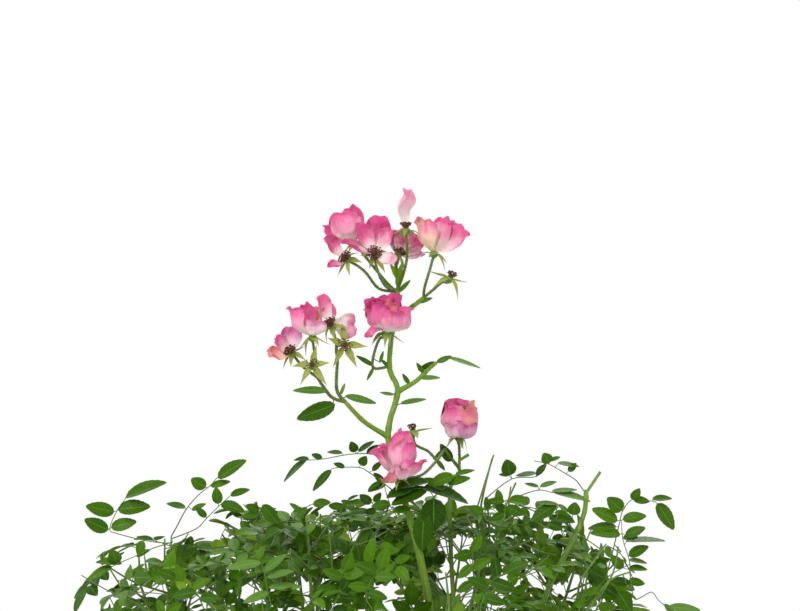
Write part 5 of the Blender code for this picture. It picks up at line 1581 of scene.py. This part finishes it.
def petal_sheet(foot, tip, width, face, cup, belly, rng):
    """A grid of points over one petal, from its foot to its ragged rim. Across it u runs from -1 to 1, and
    along it v runs from 0 to 1."""
    run = tip - foot
    length = run.length
    heading = run / length
    face = side(heading, face)
    across = heading.cross(face)
    wave, notch = rng.uniform(0, math.tau), rng.uniform(*NOTCH_PLACE)
    grid = []
    for j in range(PETAL_STEPS + 1):
        v = j / PETAL_STEPS
        half = petal_half_width(v, width)
        row = []
        for i in range(PETAL_STEPS + 1):
            u = 2 * i / PETAL_STEPS - 1
            ragged = 1 + RIM_RAGGEDNESS * noise.noise(Vector((u * RAGS_ACROSS, wave, RAGS_PLACE))) * v
            upwards = heading * length * petal_reach(u, v, notch) * ragged
            sideways = half * math.sin(u * cup * PETAL_BEND) / cup_chord(cup)
            lift = petal_lift(u, v, half, length, width, cup, belly, wave)
            row.append(foot + upwards + across * sideways + face * lift)
        grid.append(row)
    return grid


def petals_of(name, sheets, material):
    """Petals as one mesh of thin sheets, smoothed and given their thickness."""
    mesh = bpy.data.meshes.new(name)
    side_count = PETAL_STEPS + 1
    points, faces, place = [], [], []
    for grid in sheets:
        first = len(points)
        points += [point for row in grid for point in row]
        for j in range(PETAL_STEPS):
            for i in range(PETAL_STEPS):
                low = first + j * side_count + i
                faces.append((low, low + 1, low + side_count + 1, low + side_count))
                corners = ((i, j), (i + 1, j), (i + 1, j + 1), (i, j + 1))
                place += [(a / PETAL_STEPS, b / PETAL_STEPS) for a, b in corners]
    mesh.from_pydata(points, [], faces)
    mesh.uv_layers.new(name="sheet").data.foreach_set("uv", [number for pair in place for number in pair])
    mesh.materials.append(material)
    made = new_piece(name, mesh)
    smooth = made.modifiers.new("smooth", "SUBSURF")
    smooth.levels = smooth.render_levels = 1
    bpy.ops.object.modifier_apply(modifier=smooth.name)
    thick = made.modifiers.new("thickness", "SOLIDIFY")
    thick.thickness = PETAL_THICKNESS
    thick.offset = 0
    bpy.ops.object.modifier_apply(modifier=thick.name)
    bpy.ops.object.shade_smooth()
    return made


def petal_skin(name, foot, middle, rim, aged):
    """A petal: thin, matt and velvety, white at its foot and darkest at its rim, with fine veins that fan out
    along it and faded patches, and light that comes through it."""
    material, tree = empty_material(name)
    place = add_node(tree, "ShaderNodeUVMap", uv_map="sheet").outputs[0]
    parts = add_node(tree, "ShaderNodeSeparateXYZ", {0: place})
    stretched = add_node(tree, "ShaderNodeMapping", {"Vector": place, "Scale": (30, 2.2, 1)})
    veins = add_node(tree, "ShaderNodeTexNoise", {"Vector": stretched.outputs[0], "Scale": 1, "Detail": 3})
    spot = add_node(tree, "ShaderNodeTexCoord").outputs["Object"]
    patches = add_node(tree, "ShaderNodeTexNoise", {"Vector": spot, "Scale": 130, "Detail": 3})
    wander = add_node(tree, "ShaderNodeMath", {0: patches.outputs[0], 1: 0.5, 2: parts.outputs[1]},
                      operation="MULTIPLY_ADD")
    streaked = add_node(tree, "ShaderNodeMath", {0: veins.outputs[0], 1: 0.30, 2: wander.outputs[0]},
                        operation="MULTIPLY_ADD")
    to_middle = add_node(tree, "ShaderNodeMapRange", {
        "Value": streaked.outputs[0], "From Min": 0.58, "From Max": 0.95}, interpolation_type="SMOOTHSTEP")
    to_rim = add_node(tree, "ShaderNodeMapRange", {
        "Value": streaked.outputs[0], "From Min": 0.92, "From Max": 1.32}, interpolation_type="SMOOTHSTEP")
    fade = add_node(tree, "ShaderNodeTexNoise", {"Vector": spot, "Scale": 75, "Detail": 2})
    faded = add_node(tree, "ShaderNodeMapRange", {
        "Value": fade.outputs[0], "From Min": 0.52, "From Max": 0.68, "To Max": 0.55})
    withering = add_node(tree, "ShaderNodeMapRange", {
        "Value": streaked.outputs[0], "From Min": 1.40, "From Max": 1.62, "To Max": 0.75})
    colour = linear(foot)
    for cover, next_colour in ((to_middle, middle), (to_rim, rim), (faded, aged), (withering, "#9A5646")):
        layer = add_node(tree, "ShaderNodeMix", {
            0: cover.outputs[0], 6: colour, 7: linear(next_colour)}, data_type="RGBA")
        colour = layer.outputs[2]
    relief = add_node(tree, "ShaderNodeBump", {
        "Height": veins.outputs[0], "Strength": 0.5, "Distance": 0.0004})
    shader = add_node(tree, "ShaderNodeBsdfPrincipled", {
        "Base Color": colour, "Roughness": 0.62, "IOR": 1.38, "Sheen Weight": 0.1,
        "Normal": relief.outputs[0]})
    through = add_node(tree, "ShaderNodeBsdfTranslucent", {"Color": colour})
    both = add_node(tree, "ShaderNodeMixShader", {0: 0.30, 1: shader.outputs[0], 2: through.outputs[0]})
    add_node(tree, "ShaderNodeOutputMaterial", {"Surface": both.outputs[0]})
    return material


petal_finishes = {
    "deep": petal_skin("deep_pink_petal", "#EDD4D8", "#E0709E", "#CF4486", "#E79CB8"),
    "pink": petal_skin("pink_petal", "#F2E6DE", "#EA9DBA", "#DB5A94", "#F0C6D2"),
    "pale": petal_skin("pale_petal", "#F1E9DE", "#ECD0D8", "#E293B4", "#E9DAD2"),
    "lilac": petal_skin("lilac_petal", "#EDDFDF", "#E0A0C2", "#CE689E", "#E6B8CC"),
    "salmon": petal_skin("salmon_petal", "#F1DBC8", "#E8A39E", "#DB6B84", "#E4B290"),
    "cream": petal_skin("cream_petal", "#F0E0B8", "#EEBEBE", "#DE7098", "#ECD2A8"),
}
sheets = {}
stalks, hips, sepals, filaments, anthers = [], [], [], [], []


def add_sepals(rng, foot, axis, opening, grown):
    """The sepals round the top of a hip. Each droops a little and curls its own way."""
    for k in range(SEPAL_COUNT):
        turn = math.tau * k / SEPAL_COUNT + rng.uniform(*SEPAL_TURN)
        out = turned(axis, turn, math.radians(opening + rng.uniform(*SEPAL_OPENING)))
        rim = side(axis, out)
        out = (out - UP * rng.uniform(*SEPAL_DROOP)).normalized()
        face = side(out, axis)
        length = SEPAL_LENGTH * rng.uniform(*SEPAL_LENGTH_RANGE) * grown
        across = face.cross(out) * SEPAL_WIDTH * rng.uniform(*SEPAL_WIDTH_RANGE) * grown
        sepals.append((
            foot + rim * HIP_RADIUS * SEPAL_SEAT_OUT, out * length, across, face,
            rng.uniform(*SEPAL_FOLD), rng.uniform(*SEPAL_ARCH), rng.uniform(*BLADE_TINT)))


def add_stamens(rng, foot, axis, count):
    """A tuft of bowed filaments round the styles, with an anther across the tip of each."""
    for k in range(count):
        opening = TUFT_OPENING + TUFT_OPENING_FORWARDS * abs(axis.y)
        spread = math.radians(opening) * math.sqrt(rng.random())
        out = turned(axis, k * GOLDEN_ANGLE, spread)
        seat = side(axis, out) * HIP_RADIUS * SEAT_OUT * math.sin(spread)
        start = foot + axis * HIP_LENGTH * STAMEN_SEAT_UP + seat
        bow = Vector([rng.uniform(-1, 1) for _ in range(3)]) * FILAMENT_BOW
        tip = start + out * rng.uniform(*FILAMENT_LENGTH)
        bent = route([start, start.lerp(tip, 0.5) + bow, tip], FILAMENT_STEPS)
        filaments.append(tapered(bent, FILAMENT_RADIUS, FILAMENT_TIP_RADIUS))
        lie = turned(out, rng.uniform(0, math.tau), ANTHER_TILT)
        anthers.append([
            (tip + lie * ANTHER_LENGTH * (share - 0.5), ANTHER_RADIUS * wide) for share, wide in ANTHER_FORM])
    anthers.append([(foot + axis * HIP_LENGTH * up, HIP_RADIUS * wide) for up, wide in STYLE_TUFT])


for number, (_, stalk, looks_at, opening, stamens, petals) in enumerate(BLOOMS):
    rng = random.Random("bloom %d" % number)
    line = route([mm(point) for point in stalk], STALK_STEPS)
    foot = line[-1]
    axis = (mm(looks_at) - foot).normalized()
    stalk_line = [point for point in line if (point - foot).length > HIP_LENGTH * STALK_CUT]
    stalk_line.append(foot - axis * HIP_LENGTH * STALK_END)
    stalks.append(tapered(stalk_line, STALK_RADIUS, STALK_TOP_RADIUS))
    hips.append([(foot + axis * HIP_LENGTH * up, HIP_RADIUS * wide) for up, wide in HIP_URN])
    add_sepals(rng, foot, axis, opening, 1.0 if petals else BARE_SEPAL_SIZE)
    if stamens:
        add_stamens(rng, foot, axis, stamens)
    for tip, width, face, cup, belly, kind in petals:
        out = side(axis, mm(tip) - foot)
        start = foot + axis * HIP_LENGTH * PETAL_SEAT_UP + out * HIP_RADIUS * SEAT_OUT
        sheets.setdefault(kind, []).append(
            petal_sheet(start, mm(tip), width / 1000, Vector(face), cup, belly, rng))
for points in CLUSTER_TWIGS:
    line = route([mm(point) for point in points], STALK_STEPS)
    stalks.append(tapered(line, CLUSTER_TWIG_RADIUS, STALK_RADIUS))

# Each bract and small leaf of the cane stands on a short stalk, from whatever carries it to its blade.
carriers = [point for skin in stalks for point, radius in skin]
carriers += places_along([flowering_line, *bough_lines.values()], CARRIER_STEPS)
for _, _, root, tip, _ in CANE_BRACTS:
    blade_foot = mm(root).lerp(mm(tip), BRACT_STALK_OVERLAP)
    stalks.append([(nearest(carriers, mm(root)), BRACT_STALK_RADIUS), (blade_foot, PETIOLULE_RADIUS)])

for kind, grids in sheets.items():
    piece = petals_of("petals_" + kind, grids, petal_finishes[kind])
    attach(piece, "root")
    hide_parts(*cluster_nodes)

stalk_skin = cane_skin("bristly_stalk_skin", "#647C38", "#43571F")
bloom_stalks = tubes("bloom_stalks", stalks, sides=10, material=stalk_skin)
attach(bloom_stalks, "root")
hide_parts(*cluster_nodes)

hip_skin = cane_skin("smooth_hip_skin", "#6F9238", "#4A7820")
bloom_hips = tubes("bloom_hips", hips, sides=18, material=hip_skin)
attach(bloom_hips, "root")
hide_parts(*cluster_nodes)

sepal_blade = leaf_blade("downy_sepal", "#A8AC58", "#879244", "#CACC92", "#B2B682", 0.6)
bloom_sepals = joined_copies("bloom_sepals", form_arrays(sepal_form()), sepals, sepal_blade)
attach(bloom_sepals, "root")
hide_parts(*cluster_nodes)

dry_filament = cane_skin("dry_filament", "#A87850", "#7E4A38")
stamen_filaments = tubes("stamen_filaments", filaments, sides=4, material=dry_filament)
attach(stamen_filaments, "root")
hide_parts(*cluster_nodes)

browned_anther = weathered_bark("browned_anther", "#33161A", "#6E4028", 0.4, "#9A7048")
stamen_anthers = tubes("stamen_anthers", anthers, sides=6, material=browned_anther)
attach(stamen_anthers, "root")
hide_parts(*cluster_nodes)


# ------------------------------ bristles, prickles and cut stubs
# The stalks and the young wood below the blooms are set with fine soft bristles, and the older canes with a
# few hooked prickles. Here and there a shoot was cut back, which left a short straight stub.

BRISTLE_LENGTH = (0.0011, 0.0025)
BRISTLE_WIDTH = 0.00040
BRISTLE_GAP = 0.0011
BRISTLE_DROOP = 0.3
BRISTLY_FROM = 0.45
BRISTLY_CANE_RADIUS = FLOWERING_TIP_RADIUS * 1.2
PRICKLE_LENGTH = (0.0030, 0.0046)
PRICKLE_WIDTH = 0.0017
PRICKLE_GAP = 0.019
PRICKLE_DROOP = 0.5
PRICKLY_FROM = 0.08
PRICKLY_TO = 0.42
PRICKLY_CANE_RADIUS = FLOWERING_RADIUS * 0.85
PRICKLE_SIDES = 5
PRICKLE_TIP_RADIUS = 0.03
PRICKLE_ARCH = 0.25
PRICKLE_TINT = 0.3
SKIN_SHARE = 0.85
STUB_HOST_BELOW = 0.012
STUB_JOINT = 0.003

# Each stub: its foot, its cut end and its radius, in mm.
STUBS = [
    ((157, -76, 403), (169, -76, 421), 1.3),
    ((64, -50, 380), (80, -50, 432), 0.8),
    ((92, -50, 392), (99, -50, 408), 0.8),
    ((51, -41, 426), (59, -41, 431), 1.4),
    ((92, -66, 394), (94, -66, 407), 0.7),
]


def prickle_form():
    """One prickle a unit long and wide: a cone that lies along the x axis, from the origin."""
    deselect_all()
    bpy.ops.mesh.primitive_cone_add(vertices=PRICKLE_SIDES, radius1=0.5, radius2=PRICKLE_TIP_RADIUS, depth=1)
    form = bpy.context.object
    for vertex in form.data.vertices:
        x, y, z = vertex.co
        vertex.co = (z + 0.5, y, -x)
    return form


def outgrowths(rng, skin, gap, lengths, width, droop):
    """Bristles or prickles out of a round limb, evenly by its length and all round by the golden angle."""
    line = [point for point, radius in skin]
    count = int(length_of(line) / gap)
    made = []
    for k in range(count):
        share = (k + rng.random()) / count
        root, heading = along(line, share)
        radius = skin[int(share * (len(skin) - 1))][1]
        out = turned(heading, k * GOLDEN_ANGLE + rng.uniform(-TURN_WANDER, TURN_WANDER), math.pi / 2)
        run = (out - heading * rng.uniform(0, droop)).normalized() * rng.uniform(*lengths)
        across = run.cross(heading).normalized() * width
        face = across.cross(run).normalized()
        made.append((root + out * radius * SKIN_SHARE, run, across, face, 0, PRICKLE_ARCH, PRICKLE_TINT))
    return made


prickle = form_arrays(prickle_form())
growth_rng = random.Random("bristles and prickles")
# All the stalks are bristly but the bracts' own, which are the ones of two points.
bristly = [skin for skin in stalks if len(skin) > 2]
bristly += [tapered(line, BOUGH_TIP_RADIUS, SIDE_BOUGH_TIP_RADIUS) for line in bough_lines.values()]
bristly.append([(point, BRISTLY_CANE_RADIUS) for point in flowering_line if point.z > BRISTLY_FROM])
bristles = [
    bristle for skin in bristly
    for bristle in outgrowths(growth_rng, skin, BRISTLE_GAP, BRISTLE_LENGTH, BRISTLE_WIDTH, BRISTLE_DROOP)
]
bristle_skin = cane_skin("bristle_skin", "#84904C", "#6E6238")
soft_bristles = joined_copies("soft_bristles", prickle, bristles, bristle_skin)
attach(soft_bristles, "root")
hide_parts("flowering_cane", *bough_lines, *cluster_nodes)

armed = [[(point, (CANE_RADIUS + CANE_TIP_RADIUS) / 2) for point in line] for line in thick_lines]
prickly_length = [point for point in flowering_line if PRICKLY_FROM < point.z < PRICKLY_TO]
armed.append([(point, PRICKLY_CANE_RADIUS) for point in prickly_length])
prickles = [
    thorn for skin in armed
    for thorn in outgrowths(growth_rng, skin, PRICKLE_GAP, PRICKLE_LENGTH, PRICKLE_WIDTH, PRICKLE_DROOP)
]
prickle_skin = cane_skin("prickle_skin", "#B08A5A", "#8C5A3C", aged_below=0.15, aged_above=0.34)
hooked_prickles = joined_copies("hooked_prickles", prickle, prickles, prickle_skin)
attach(hooked_prickles, "root")
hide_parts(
    "flowering_cane", "cane_middle", *["cane_%d" % (i + 1) for i in range(CANE_COUNT)])

stub_lines = []
for foot, end, radius in STUBS:
    host = nearest(hosts, mm(foot) - UP * STUB_HOST_BELOW)
    start = [host] if (host - mm(foot)).length > STUB_JOINT else []
    stub_lines.append([(point, radius / 1000) for point in start + [mm(foot), mm(end)]])
cut_stubs = tubes("cut_stubs", stub_lines, sides=10, material=young_skin)
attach(cut_stubs, "root")
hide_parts("cane_right", "cane_low_right", "foliage_upper_1")


# ------------------------------ floor, light and camera
# A plain pale studio: a matt floor, an even white surround, and three soft lights, the strongest above the
# front left, a weak one at the right and one behind.

FLOOR_RADIUS = 1.35
FLOOR_SIDES = 96
LIGHT_AIM = Vector((0, 0, 0.40))
CAMERA_DISTANCE = 2.0
CAMERA_ELEVATION = math.radians(4)
CAMERA_AIM = Vector((0, -0.050, 0.5597))
CAMERA_SEES_TO = 100
LENS_MM = 105.88
SENSOR_MM = 36

deselect_all()
bpy.ops.mesh.primitive_circle_add(vertices=FLOOR_SIDES, radius=FLOOR_RADIUS, fill_type="NGON")
floor = bpy.context.object
floor.name = "studio_floor"
matt_floor, tree = empty_material("matt_white_floor")
shader = add_node(tree, "ShaderNodeBsdfPrincipled", {
    "Base Color": linear("#F2F2F2"), "Roughness": 0.9, "Specular IOR Level": 0.2})
add_node(tree, "ShaderNodeOutputMaterial", {"Surface": shader.outputs[0]})
floor.data.materials.append(matt_floor)

world = bpy.data.worlds.new("studio_surround")
bpy.context.scene.world = world
world.use_nodes = True
surround = world.node_tree
surround.nodes.clear()
glow = add_node(surround, "ShaderNodeBackground", {"Color": linear("#FFFFFF"), "Strength": 1})
add_node(surround, "ShaderNodeOutputWorld", {"Surface": glow.outputs[0]})

# Each light: its place in metres, its width, and its power in watts.
for name, place, width, power in (
    ("key_light", (-1.1, -1.7, 2.2), 1.2, 42),
    ("fill_light", (1.6, -1.2, 1.4), 1.4, 5),
    ("back_light", (0.4, 1.8, 2.0), 1.2, 20),
):
    bpy.ops.object.light_add(type="AREA", location=place)
    light = bpy.context.object
    light.name = name
    light.data.size = width
    light.data.energy = power
    light.rotation_euler = (LIGHT_AIM - Vector(place)).to_track_quat("-Z", "Y").to_euler()

back_off = Vector((0, -math.cos(CAMERA_ELEVATION), math.sin(CAMERA_ELEVATION)))
bpy.ops.object.camera_add(location=CAMERA_AIM + back_off * CAMERA_DISTANCE)
camera = bpy.context.object
camera.rotation_euler = (-back_off).to_track_quat("-Z", "Y").to_euler()
camera.data.lens = LENS_MM
camera.data.sensor_width = SENSOR_MM
camera.data.clip_end = CAMERA_SEES_TO
bpy.context.scene.camera = camera
bpy.context.scene.view_settings.view_transform = "Standard"

bpy.context.view_layer.update()
